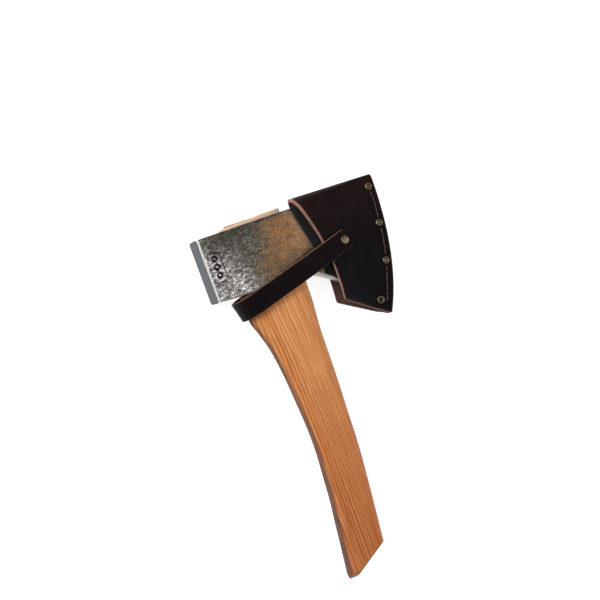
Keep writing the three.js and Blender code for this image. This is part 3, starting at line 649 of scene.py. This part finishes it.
    # Painted shade over the lower part of the head towards the sheath, beside the strap
    scale_and_shade = np.maximum(scale_and_shade, 0.35 * smooth(22, 46, -y) * smooth(44, 56, x))
    poll = 1 - smooth(0.0, 0.05, s)
    rows_n, columns_n = x.shape
    front = np.stack([x, y, sides[0]], -1).reshape(-1, 3)
    back = np.stack([x, y, sides[1]], -1).reshape(-1, 3)
    points = [front, back]
    keep = {
        "patina": patina, "silver_and_glints": silver_and_glints, "ground_and_highlight": ground_and_highlight, "scale_and_shade": np.clip(scale_and_shade, 0, 1), "poll": poll,
        "mark": mark,
    }
    marks = {key: [np.clip(value, 0, 1).ravel()] * 2 for key, value in keep.items()}
    marks["mark"][1] = np.zeros(mark.size)
    faces = grid_faces(rows_n, columns_n) + grid_faces(rows_n, columns_n, base=front.shape[0], flip=True)
    # The four rims between the two sides, each crossed by a few rows
    loop = border(rows_n, columns_n)
    index = np.array([i * columns_n + j for i, j in loop])
    steps = 8
    rings = [index]
    total = front.shape[0] * 2
    for k in range(1, steps):
        t = k / steps
        ring = lerp(front[index], back[index], t)
        for n, (i, j) in enumerate(loop):
            if i > 0 and j in (0, columns_n - 1):
                ring[n, 1] += 0.12 * rough(ring[n], 4.0, 2) * smooth(2, 6, ring[n, 0])
        points.append(ring)
        for key in marks:
            values = keep[key].ravel()[index]
            marks[key].append(np.clip(values, 0, 1))
        rings.append(total + np.arange(len(index)))
        total += len(index)
    rings.append(index + front.shape[0])
    faces += bands(rings)
    attributes = {key: np.concatenate(value) for key, value in marks.items()}
    head = make("head_forging", np.concatenate(points), faces, None, [STEEL], attributes=attributes, sharp=28)
    turns = np.linspace(0, 2 * math.pi, 96, endpoint=False)
    oval = [(EYE_MIDDLE + EYE_LONG * math.cos(a), EYE_HALF * math.sin(a)) for a in turns]
    carve(head, prism(oval, -64, 12, along="Y", material=STEEL))
    head.data.set_sharp_from_angle(angle=math.radians(28))
    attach(head, "hatchet")
    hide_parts("axe_head")


forged_head()

# ---- handle

TENON = (22.3, 73.7, 8.2)
TENON_RISE, SHOULDER = 2.6, -51
END_RIDGE, END_TOP, END_FALL = (33.2, -287.6), (59.8, -272.8), 0.5
# Height, back, front and half thickness, from the shoulder to the butt
STATIONS = np.array([
    (SHOULDER, *TENON), (-53, 20.9, 74.8, 10.6), (-58, 20.6, 74.4, 11.4), (-68, 20.7, 74.2, 11.6),
    (-74, 21.1, 74, 11.6), (-82.6, 24.2, 73.2, 11.5), (-97.2, 28.4, 72.2, 11.3), (-111.2, 30.8, 71.9, 11.1),
    (-125.1, 32.4, 71.5, 10.9), (-145.6, 34, 70.7, 10.8), (-166.2, 35.4, 69.6, 10.8),
    (-186.3, 35.5, 68.7, 10.9), (-205.8, 34.2, 67.3, 11.2), (-225.3, 32.8, 65.3, 11.6),
    (-244.5, 30.5, 63.2, 12), (-263.7, 28.3, 61, 12.3), (-291, 24.9, 57.9, 12.4),
])


def handle_section(y):
    """Back, front and half thickness of the handle at a height, on a smooth curve through the stations."""
    heights = -STATIONS[:, 0]
    at = np.clip(-y, heights[0], heights[-1])
    i = int(np.clip(np.searchsorted(heights, at) - 1, 0, len(heights) - 2))
    t = (at - heights[i]) / (heights[i + 1] - heights[i])
    values = []
    for column in (1, 2, 3):
        c = STATIONS[:, column]
        slopes = []
        for k in (i, i + 1):
            a, b = max(k - 1, 0), min(k + 1, len(c) - 1)
            slopes.append((c[b] - c[a]) / (heights[b] - heights[a]))
        span = heights[i + 1] - heights[i]
        m0, m1 = slopes[0] * span, slopes[1] * span
        h = (2 * t**3 - 3 * t**2 + 1) * c[i] + (t**3 - 2 * t**2 + t) * m0
        values.append(h + (-2 * t**3 + 3 * t**2) * c[i + 1] + (t**3 - t**2) * m1)
    return values


def handle():
    """The handle from its tenon's top to its butt, with the cut end, the kerf and the cross wedge's slot."""
    heights = np.concatenate([
        np.linspace(TENON_RISE, 1.2, 3), np.linspace(0, SHOULDER + 0.5, 14), np.linspace(SHOULDER, -60, 10),
        np.linspace(-61.5, -290, 150),
    ])
    around = 112
    points, grain, raw, stripes, shade_falloff, shade = [], [], [], [], [], []
    for n, y in enumerate(heights):
        tenon = y > SHOULDER
        back, front, half = TENON if tenon else handle_section(y)
        if n == 0:
            back, front, half = back + 0.8, front - 0.8, half - 0.8
        power = 1.0 if tenon else lerp(0.86, 0.6, float(smooth(60, 200, -y)))
        for k in range(around):
            a = 2 * math.pi * k / around
            c, d = math.cos(a), math.sin(a)
            x = (back + front) / 2 + (front - back) / 2 * math.copysign(abs(c) ** power, c)
            z = half * math.copysign(abs(d) ** power, d)
            if y > 0:
                lean = (0.035 * (x - EYE_MIDDLE) + 0.35 * rough((x, 3, z), 3.0, 4)) * (y / TENON_RISE)
            else:
                weight = float(smooth(0, 50, -y) * (1 - smooth(58, 97, -y)))
                lean = -0.05 * (x - 20) * weight
            wave = 0.0 if tenon else 0.08 * rough((x, y * 0.4, z), 14, 6)
            points.append((x, y + lean, z + math.copysign(wave, z) if abs(z) > 1 else z))
            curve = 0.35 * (back - 30) * (1 - (x - back) / (front - back))
            grain.append((x - curve + 0.02 * y, y, z))
            raw.append(1.0 if y > -2 else 0.0)
            share = (x - back) / (front - back)
            narrow = smooth(0.84, 1.01, -c) + 0.6 * smooth(0.92, 1.0, c)
            shade.append(0.0 if tenon else 0.9 * float(narrow))
            # Painted shade, darker towards the butt and towards the front edge
            shade_falloff.append(float(0.62 * smooth(40, 260, -y) + 0.12 * smooth(0.45, 0.8, share)))
            stripes.append(1.0 - 0.6 * float(smooth(0.4, 0.75, share)))
    faces = tube_faces(len(heights), around)
    attributes = {"grain": grain, "raw": raw, "stripes": stripes, "shade_falloff": shade_falloff, "shade": shade}
    piece = make("handle_ash", points, faces, None, [WOOD], attributes=attributes, sharp=40)
    # The butt is cut off along two facets, which meet in a ridge at mid-thickness
    outline = [(84, -259.2), END_TOP, END_RIDGE, (10, -286.9), (10, -310), (84, -310)]
    for side in (-20, 20):
        cutter = prism(outline, 0, side)
        for vertex in cutter.data.vertices:
            vertex.co.y += END_FALL * abs(vertex.co.z - ORIGIN.z)
        correct(cutter)
        carve(piece, cutter)
    kerf = [(27, 1.6), (69, 1.6), (69, -1.6), (27, -1.6)]
    carve(piece, tapered(kerf, 5.1, -26.4, (1, 0.375)))
    slot = [(58.8, 5.5), (61.2, 5.5), (61.2, -5.5), (58.8, -5.5)]
    carve(piece, tapered(slot, 5.1, -10.4, (0.34, 1), middle=60))
    bevel = piece.modifiers.new("bevel", "BEVEL")
    bevel.width = 0.35 * MM
    bevel.segments = 2
    bevel.limit_method = "ANGLE"
    bevel.angle_limit = math.radians(50)
    settle(piece, sharp=40)
    # The new cut faces take their grain from where they are
    mesh = piece.data
    co = np.array([v.co for v in mesh.vertices]) / MM - np.array(ORIGIN) / MM
    ends = np.zeros(len(co), np.float32)
    fall = END_FALL * np.abs(co[:, 2])
    slope = (END_TOP[1] - END_RIDGE[1]) / (END_TOP[0] - END_RIDGE[0])
    line = END_TOP[1] + (co[:, 0] - END_TOP[0]) * slope
    ends[(co[:, 1] < line + fall + 0.4) | (co[:, 1] < END_RIDGE[1] + fall + 0.4)] = 1
    layer = mesh.attributes.new("endgrain", "FLOAT", "POINT")
    layer.data.foreach_set("value", ends)
    along = read(mesh, "grain", 3)
    lost = np.abs(along).sum(1) < 1e-6
    along[lost] = co[lost]
    mesh.attributes["grain"].data.foreach_set("vector", along.ravel())
    bare = read(mesh, "raw")
    bare[co[:, 1] > -2] = 1
    mesh.attributes["raw"].data.foreach_set("value", bare)
    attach(piece, "hatchet")
    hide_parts("handle")


handle()

# ---- sheath

LEATHER_T = 2.4
MOUTH = ((84, 6.8), (91, -14), (101, -40), (96.5, -82))
OUTER = ((156.2, 4.9), (156.5, -34), (151, -74), (133, -106.4))
MOUTH_HALF, STACK_HALF = 11.5, 3.7
SHEATH_LENGTH, SHEATH_WIDTH = 108, 58
SEAM_BAND, LIP = 16, 1.2
BACK_LONGER = 1.3
RIVETS = ((150, -4.3), (148.4, -34.6), (142.8, -64.4), (127.4, -92.5))
SEAMS = (
    ((150.7, -8.6), (151.2, -20), (149.6, -30.1)),
    ((148.9, -39.1), (147.6, -49.5), (144.7, -59.7)),
    ((142, -69), (138.6, -80.5), (132.5, -95.6)),
)


def seam_point(run, t):
    """A point on one run of the seam, a curve with one control point."""
    a, b, c = (np.array(p, float) for p in run)
    return (1 - t) ** 2 * a + 2 * t * (1 - t) * b + t * t * c


def seam_distance(x, y):
    best = np.full(x.shape, 1e9)
    for run in SEAMS:
        for t in np.linspace(0, 1, 40):
            p = seam_point(run, t)
            best = np.minimum(best, np.hypot(x - p[0], y - p[1]))
    return best


def panel(row):
    """The mouth's and the sewn edge's places at a row, and the distance between them."""
    mouth, outer = cubic(*MOUTH, row), cubic(*OUTER, row)
    return mouth, outer, np.hypot(*(mouth - outer).transpose(2, 0, 1))


def sheath_half(inset, row, width):
    """Half the sheath's thickness: flat over the seam, then widening towards the mouth."""
    flat = lerp(9.5, 15.0, smooth(0.7, 0.95, row))
    rise = np.maximum(0, (inset - flat) / (width - flat))
    return STACK_HALF + (MOUTH_HALF - STACK_HALF) * rise


def sheath_surface(inset, row, shrink, side):
    """Points of the folded leather's outer (shrink 0) or inner face at a distance in from the sewn edge."""
    width = panel(row)[2]
    # Round the two lower corners
    down = (1 - row) * SHEATH_LENGTH
    for radius, at_mouth in ((3.0, False), (1.5, True)):
        a = (width - inset) if at_mouth else inset
        ca, cb = radius - a, radius - down
        far = np.hypot(ca, cb)
        turn = (ca > 0) & (cb > 0) & (far > radius)
        a = np.where(turn, radius - ca / np.maximum(far, 1e-6) * radius, a)
        down = np.where(turn, radius - cb / np.maximum(far, 1e-6) * radius, down)
        inset = (width - a) if at_mouth else a
    row = 1 - down / SHEATH_LENGTH
    mouth, outer, width = panel(row)
    share = (inset / width)[..., None]
    point = outer * (1 - share) + mouth * share
    half = sheath_half(inset, row, width) - shrink
    top = lerp(OUTER[0][1], MOUTH[0][1], inset / width)
    depth = np.minimum(half, top - point[..., 1])
    z = half * np.sqrt(np.maximum(0, 1 - (1 - depth / half) ** 2))
    x, y = point[..., 0], point[..., 1] - shrink * (1 - row)
    relax = smooth(6, 20, top - point[..., 1]) * smooth(14, 26, inset)
    ripple = np.zeros_like(x)
    for i in range(x.shape[0]):
        for j in range(x.shape[1]):
            at = (x[i, j], y[i, j], 50 * side)
            ripple[i, j] = 0.35 * rough(at, 26, 8) + 0.1 * rough(at, 8, 2)
    z = z + relax * ripple
    near = seam_distance(x, y)
    if shrink == 0:
        for away in (inset, width - inset, (1 - row) * SHEATH_LENGTH):
            short = np.clip(LIP - away, 0, LIP)
            z = z - (LIP - np.sqrt(LIP**2 - short**2)) * smooth(0, 2, z)
        z = z - 0.5 * (1 - smooth(0.3, 1.1, near))
        for rx, ry in RIVETS:
            z = z - 0.25 * (1 - smooth(2.6, 5.0, np.hypot(x - rx, y - ry)))
    if side < 0:
        y = y - BACK_LONGER * smooth(0.97, 1.0, row) * smooth(4, 14, inset)
    return np.stack([x, y, z * side], -1)


def sheath():
    """The folded leather as a closed shell: its outer and inner faces, joined by its cut edges."""
    # From the sewn edge to the mouth and from the fold down to the bottom, closest at the rounded lips
    lip = np.array([LIP, 0.85, 0.5, 0.25, 0.08, 0.0])
    across = np.concatenate([
        lip[::-1], np.linspace(1.6, SEAM_BAND, 44)[:-1], np.linspace(SEAM_BAND, SHEATH_WIDTH - 1.6, 46),
        SHEATH_WIDTH - lip,
    ])
    rows = np.concatenate([
        np.linspace(0, 1, 26)[:-1] ** 2 * 0.12, np.linspace(0.12, 0.985, 92), 1 - lip / SHEATH_LENGTH,
    ])
    grids = {}
    for name, shrink in (("outer", 0.0), ("inner", LEATHER_T)):
        parts = []
        for side in (1, -1):
            use = rows[::-1] if side > 0 else rows[1:]
            near, row = np.meshgrid(across, use, indexing="ij")
            stretched = (near - SEAM_BAND) / (SHEATH_WIDTH - SEAM_BAND) * (panel(row)[2] - SEAM_BAND)
            inset = np.where(near <= SEAM_BAND, near, SEAM_BAND + stretched)
            parts.append(sheath_surface(inset, row, shrink, side))
        grids[name] = np.concatenate(parts, 1)
    outer, inner = grids["outer"], grids["inner"]
    m, n = outer.shape[:2]
    count = m * n
    points = [outer.reshape(-1, 3), inner.reshape(-1, 3)]
    faces = grid_faces(m, n) + grid_faces(m, n, base=count, flip=True)
    raw_lip = np.zeros((m - 1, n - 1), int)
    raw_lip[-4:, :] = 1
    raw_lip[6:, :4] = 1
    raw_lip[6:, -4:] = 1
    parts = raw_lip.ravel().tolist() + [2] * (len(faces) // 2)
    loop = border(m, n)
    index = np.array([i * n + j for i, j in loop])
    edge_out, edge_in = points[0][index], points[1][index]
    inward = np.array([points[0][min(max(i, 1), m - 2) * n + min(max(j, 1), n - 2)] for i, j in loop])
    away = edge_out - inward
    away /= np.maximum(np.linalg.norm(away, axis=1), 1e-6)[:, None]
    rings = [index]
    total = count * 2
    steps = 6
    low_lip = (np.arange(n) < 4) | (np.arange(n) > n - 5)
    sewn = np.where(np.arange(m)[:, None] < 6, 1.0, np.where(low_lip, 0.7, 0.0)[None, :])
    rim = [sewn.ravel(), sewn.ravel()]
    for k in range(1, steps):
        t = k / steps
        bulge = 0.28 * math.sin(math.pi * t) ** 0.6
        ring = lerp(edge_out, edge_in, t) + away * bulge
        for q in range(len(ring)):
            ring[q] += away[q] * (0.08 * rough(ring[q], 2.2, 11))
        points.append(ring)
        rim.append(np.array([sewn[i, j] for i, j in loop]))
        rings.append(total + np.arange(len(index)))
        total += len(index)
    rings.append(index + count)
    faces += bands(rings)
    parts += [1] * (len(index) * steps)
    every = np.concatenate(points)
    steps_in = [np.minimum(np.arange(size), size - 1 - np.arange(size)) for size in (m, n)]
    edge = (1 - smooth(4, 9, np.minimum(steps_in[0][:, None], steps_in[1][None, :]))).ravel()
    fold = 1 - smooth(0.0, 3.0, np.abs(outer[..., 2]))
    edge = np.maximum(edge, 0.5 * fold.ravel())
    edge = np.concatenate([edge, edge, np.ones(len(every) - 2 * count)])
    # Painted light: browner towards the top of the sheath
    warm = smooth(-46, 2, every[:, 1]) * 0.7
    piece = make(
        "sheath_leather", every, faces, None, [LEATHER, EDGE, FLESH], parts=parts, sharp=50,
        attributes={"edge": edge, "rim": np.concatenate(rim), "warm": warm},
    )
    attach(piece, "sheath")
    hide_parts("sheath_body")


sheath()

# ---- stitches

STITCH, THREAD_RADIUS = 4.2, 0.46


def stitches(label, side):
    """Each run of the seam as separate twisted stitches, dipping into the leather at both ends."""
    for number, run in enumerate(SEAMS, 1):
        fine = np.array([seam_point(run, t) for t in np.linspace(0, 1, 200)])
        travel = travelled(fine)
        count = max(1, round(travel[-1] / STITCH))
        points, faces = [], []
        sides, steps = 10, 18
        for k in range(count):
            start, end = travel[-1] * (k + 0.04) / count, travel[-1] * (k + 0.96) / count
            base = len(points)
            astray, twist = random.uniform(-0.18, 0.18), random.uniform(-0.2, 0.2)
            for i in range(steps + 1):
                t = i / steps
                at = lerp(start, end, t)
                (x, x2), (y, y2) = (np.interp((at, at + 0.1), travel, fine[:, axis]) for axis in (0, 1))
                along = np.array((x2 - x, y2 - y, 0.0))
                along /= max(np.linalg.norm(along), 1e-9)
                beside = np.array((-along[1], along[0], 0.0))
                arch = math.sin(math.pi * t) ** 0.5
                level = STACK_HALF - 0.75 + 0.72 * arch
                slant = astray + (0.18 + twist) * (t - 0.5) * 2
                for j in range(sides):
                    a = 2 * math.pi * j / sides
                    r = THREAD_RADIUS * (1 + 0.16 * math.cos(2 * a - 9 * math.pi * t)) * (0.75 + 0.25 * arch)
                    offset = beside * (r * math.cos(a) + slant) + np.array((0, 0, r * math.sin(a)))
                    p = np.array((x, y, level)) + offset
                    points.append((p[0], p[1], p[2] * side))
            faces += tube_faces(steps + 1, sides, base)
        make(
            f"stitches_{label}_{number}", points, faces, "sheath", [THREAD], sharp=60,
            stands_for=(f"seam_thread_{label}_{number}",), slot="waxed_thread",
        )


stitches("front", 1)
stitches("back", -1)

# ---- rivets

RIVET_REST = 0.02


def edge_rivet(number, x, y):
    """A tubular rivet's rolled head with a groove round its middle, slightly askew, and its cap behind."""
    lean = [Matrix.Rotation(math.radians(random.uniform(-4, 4)), 4, axis) for axis in ("X", "Y")]
    place = Matrix.Translation((x, y, 0))
    lowest = number == len(RIVETS)
    face = STACK_HALF + RIVET_REST
    hollow = 0.8 if lowest else 0.2
    shank = [(0.02, -3.6), (1.3, -3.6), (1.35, face)]
    head = [
        (2.75, 0), (2.98, 0.16), (3.02, 0.38), (2.88, 0.64), (2.5, 0.88), (2.1, 1.0), (1.8, 1.02), (1.6, 0.9),
        (1.45, 0.62), (1.2, 0.58), (1.05, 0.74), (0.9, 1.0 - hollow), (0.5, 0.98 - hollow),
        (0.02, 0.95 - hollow),
    ]
    wider = [(r * (1.12 if lowest and z > 0.5 and r > 1.5 else 1.0), face + z) for r, z in head]
    turned(
        f"rivet_head_{number}", shank + wider, place @ lean[0] @ lean[1], "sheath",
        [DARK_BRONZE if lowest else BRONZE], wobble=0.025, groove=(0.0, 1.5) if lowest else (1.1, 1.7),
        stands_for=(f"edge_rivet_{number}",), slot="antique_bronze",
    )
    cap = [
        (0.02, -0.62), (0.6, -0.68), (0.9, -1.02), (1.5, -1.12), (2.3, -0.95), (2.8, -0.6), (3.0, -0.3),
        (2.9, 0), (1.4, 0.1), (0.02, 0.1),
    ]
    turned(
        f"rivet_cap_{number}", [(r, z - face) for r, z in cap], place, "sheath", [BRONZE], wobble=0.02,
        stands_for=(f"edge_rivet_cap_{number}",), slot="antique_bronze",
    )


for number, (x, y) in enumerate(RIVETS, 1):
    edge_rivet(number, x, y)

# ---- strap

STRAP_ANGLE = math.radians(14.3)
STRAP_AT = np.array((112.4, -37.9))
ALONG = np.array((math.cos(STRAP_ANGLE), math.sin(STRAP_ANGLE)))
BESIDE = np.array((-math.sin(STRAP_ANGLE), math.cos(STRAP_ANGLE)))
# The sheath's face at the strap rivet: how far from the mid-plane, and how fast it falls along the strap
FACE, FACE_SLOPE = 8.69, 0.160
MID = 15.6
WRAP_START = -84.4
SNAP_T, SNAP_LIFT, SEAT = -2.0, 3.2, 0.5
STRAP_HALF, EDGE_SWELL = 8, 0.25


def strap_place(t, across, z):
    """A place in the head frame from one along and across the strap, with the rivet at t = 0."""
    flat = STRAP_AT + ALONG * t + BESIDE * across
    return (flat[0], flat[1], z)


def smooth_line(points, step=0.8):
    """A dense smooth line through the given (t, z) points."""
    points = np.array(points, float)
    ends = np.vstack([2 * points[0] - points[1], points, 2 * points[-1] - points[-2]])
    line = []
    for i in range(1, len(ends) - 2):
        p0, p1, p2, p3 = ends[i - 1 : i + 3]
        count = max(2, int(np.linalg.norm(p2 - p1) / step))
        for t in np.linspace(0, 1, count, endpoint=False):
            square, cube = 2 * p0 - 5 * p1 + 4 * p2 - p3, 3 * p1 - p0 - 3 * p2 + p3
            line.append(0.5 * (2 * p1 + (p2 - p0) * t + square * t * t + cube * t**3))
    line.append(points[-1])
    return np.array(line)


def strap_piece(name, line, round_at, stands_for, outer_side):
    """A strip of leather along a line of (t, z), with cut edges, rounded off at one end."""
    travel = travelled(line)
    extra = np.array([0.05, 0.15, 0.35, 0.7, 1.2, 1.9, 2.8, 4.0, 5.5, 7.0])
    from_end = travel
    if round_at == "end":
        extra = travel[-1] - extra
        from_end = travel[-1] - travel
    stations = np.unique(np.concatenate([travel, extra]))
    t = np.interp(stations, travel, line[:, 0])
    z = np.interp(stations, travel, line[:, 1])
    from_end = np.interp(stations, travel, from_end)
    tangent = np.stack([np.gradient(t, stations), np.gradient(z, stations)], 1)
    tangent /= np.linalg.norm(tangent, axis=1)[:, None]
    normal = np.stack([-tangent[:, 1], tangent[:, 0]], 1) * outer_side
    # The section as (across, level, kind), where the kinds are the grain side, a cut edge and the flesh side
    wide = np.linspace(-1, 1, 15)
    bulge = [math.sin(math.radians(a)) for a in (60, 30, 0, -30, -60)]
    section = [(w, 1.0, 0) for w in wide] + [(1.0, h, 1) for h in bulge]
    section += [(w, -1.0, 2) for w in wide[::-1]] + [(-1.0, h, 1) for h in bulge[::-1]]
    points, edge, rim, warm = [], [], [], []
    for i in range(len(stations)):
        inside = STRAP_HALF - min(from_end[i], STRAP_HALF)
        half = math.sqrt(max(STRAP_HALF**2 - inside * inside, 0.16)) - EDGE_SWELL
        for w, h, kind in section:
            swell = EDGE_SWELL * math.sqrt(1 - h * h) if kind == 1 else 0.0
            across = w * half + math.copysign(swell, w)
            soft = 0.12 if kind != 1 and abs(w) > 0.99 else 0.0
            level = h * (LEATHER_T / 2 - soft)
            crown = 0.12 * rough((t[i], w * 8, 3 * h), 14, 5)
            q = (t[i] + normal[i, 0] * (level + crown), z[i] + normal[i, 1] * (level + crown))
            points.append(strap_place(q[0], across, q[1]))
            edge.append(float(smooth(0.8, 1.0, w) + 0.25 * smooth(0.8, 1.0, -w)) if kind == 0 else 0.3)
            # Painted shade: the cut edge is darkened along the strap's lower side and towards its rounded end
            dim = max(0.0, 1 - from_end[i] / 6) if w > 0 else 0.85
            rim.append(max(dim, 0.0 if abs(h) < 0.95 else 0.15))
            # A little of the painted top light on the strap
            warm.append(0.12)
    size = len(section)
    faces = tube_faces(len(stations), size)
    kinds = []
    for _ in range(len(stations) - 1):
        for j in range(size):
            a, b = section[j], section[(j + 1) % size]
            kinds.append(1 if 1 in (a[2], b[2]) else (0 if a[1] > 0 else 2))
    kinds += [1, 0] if round_at == "start" else [0, 1]
    piece = make(
        name, points, faces, None, [LEATHER, EDGE, FLESH], parts=kinds, sharp=42,
        attributes={"edge": edge, "rim": rim, "warm": warm},
    )
    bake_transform(piece)
    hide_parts(*stands_for)
    return piece


def arc(low, high, count):
    return [(WRAP_START - MID * math.sin(a), MID * math.cos(a)) for a in np.linspace(low, high, count)]


seat = FACE + SEAT + LEATHER_T / 2
front_line = smooth_line([
    *((t, seat - FACE_SLOPE * t) for t in (8.6, -3, -15)), (-27, 13.9), (-36, MID - 0.6),
    (-46, MID), (-64, MID), (-80, MID), *arc(0, math.pi / 2 + 0.03, 16),
])
strap_piece(
    "strap_front", front_line, "start", ("strap_front_run",),
    -1)


def tail_at(t):
    return (t, -(FACE - FACE_SLOPE * t + SNAP_LIFT + LEATHER_T / 2))


tail_line = smooth_line([
    *arc(math.pi / 2, math.pi, 16), (-64, -MID), (-46, -MID), (-32, -MID + 0.15), (-22, -MID + 0.55),
    tail_at(-12), tail_at(-4), tail_at(6.6),
])
strap_piece(
    "strap_return", tail_line, "end", ("strap_wrap", "strap_tail"),
    -1)

tilt = math.atan(FACE_SLOPE)


def on_strap(t, z, lean):
    """A place on the strap with its own Z standing off the leather."""
    turn = Matrix.Rotation(STRAP_ANGLE, 4, "Z") @ Matrix.Rotation(lean, 4, "Y")
    return Matrix.Translation(strap_place(t, 0, z)) @ turn


top = SEAT + LEATHER_T
low_head = [
    (1.4, 0), (3.1, 0), (3.36, 0.12), (3.42, 0.35), (3.3, 0.62), (2.9, 0.86), (2.2, 0.98), (1.2, 1.02),
    (0.02, 1.03),
]
turned(
    "strap_rivet_head", [(0.02, -2.7), (1.35, -2.7)] + [(r, top + z) for r, z in low_head],
    on_strap(0, FACE, tilt), "sheath", [PALE_BRONZE], segments=48, wobble=0.015,
    stands_for=("strap_rivet",), slot="antique_bronze",
)

below = -SNAP_LIFT - LEATHER_T
button = [
    (0.02, -1.5), (1.6, -1.42), (3.0, -1.16), (4.1, -0.78), (4.75, -0.4), (4.98, -0.12), (4.9, 0.04),
    (4.3, 0.06), (1.3, 0.06), (1.3, 1.1), (0.02, 1.1),
]
turned(
    "snap_button", [(r, below + z) for r, z in button],
    on_strap(SNAP_T, -(FACE - FACE_SLOPE * SNAP_T), -tilt), "strap_end", [BRONZE], segments=56, wobble=0.004,
    stands_for=("snap_cap",), slot="antique_bronze",
)

# ---- carried-over pieces

for name, paint in (
    ("steel_wedge", WEDGE_STEEL), ("wood_wedge", WEDGE_WOOD), ("sheath_welt", EDGE),
    ("strap_rivet_cap", BRONZE), ("snap_stud", BRONZE), ("snap_stud_flange", BRONZE), ("snap_socket", BRONZE),
):
    mesh = nodes[name].data
    mesh.materials.clear()
    mesh.materials.append(paint)

# ---- floor, lights and camera


def studio():
    paper = Paint("paper")
    paper.set(Base_Color=paper.ramp(paper.noise(3, 2), (0.3, 0.42), (0.7, 0.45)), Roughness=0.9)
    paper.set(Emission_Color=(1, 1, 1, 1), Emission_Strength=0.85)
    reach = 3.0
    corners = [(x * reach, y * reach, 0) for x, y in ((-1, -1), (1, -1), (1, 1), (-1, 1))]
    mesh = bpy.data.meshes.new("floor")
    mesh.from_pydata(corners, [], [(0, 1, 2, 3)])
    mesh.materials.append(paper.material)
    floor = bpy.data.objects.new("floor", mesh)
    floor.location.z = -0.0005
    bpy.context.scene.collection.objects.link(floor)
    world = bpy.data.worlds.new("studio")
    bpy.context.scene.world = world
    world.use_nodes = True
    sky = world.node_tree.nodes["Background"].inputs
    sky["Color"].default_value = (1, 1, 1, 1)
    sky["Strength"].default_value = 0.3

    def lamp(name, location, target, size, power):
        light = bpy.data.lights.new(name, "AREA")
        light.shape = "RECTANGLE"
        light.size, light.size_y = size
        light.energy = power
        ob = bpy.data.objects.new(name, light)
        ob.location = location
        ob.rotation_mode = "QUATERNION"
        ob.rotation_quaternion = (Vector(target) - Vector(location)).to_track_quat("-Z", "Y")
        bpy.context.scene.collection.objects.link(ob)

    lamp("key", (-0.42, 0.42, 0.5), (-0.02, 0.04, 0), (0.45, 0.45), 4.4)
    lamp("sheen", (0.25, 0.0, 0.78), (-0.03, 0.08, 0), (0.34, 0.34), 0.6)
    lamp("fill", (0.75, -0.1, 0.4), (0, 0, 0), (0.6, 0.3), 2.0)


def camera():
    """Looks down on the hatchet, from a little towards the poll and the top, turned so the head rises."""
    azimuth, rise, roll = map(math.radians, (18.0, 3.0, 20.0))
    back = Vector((-math.sin(azimuth) * math.cos(rise), math.sin(rise), math.cos(azimuth) * math.cos(rise)))
    level = Vector((0, 1, 0)).cross(back).normalized()
    upright = back.cross(level)
    right = math.cos(roll) * level - math.sin(roll) * upright
    up = math.sin(roll) * level + math.cos(roll) * upright
    aim = Vector((65, -70, 0)) * MM + ORIGIN
    lens = bpy.data.cameras.new("camera")
    lens.sensor_width = 36
    lens.lens = 36 * 1025.64 / 600
    lens.clip_start = 0.01
    lens.clip_end = 20
    ob = bpy.data.objects.new("camera", lens)
    matrix = Matrix((right, up, back)).transposed().to_4x4()
    matrix.translation = aim + back * 0.8
    ob.matrix_world = matrix
    bpy.context.scene.collection.objects.link(ob)
    bpy.context.scene.camera = ob


studio()
camera()
bpy.context.scene.view_settings.view_transform = "Standard"
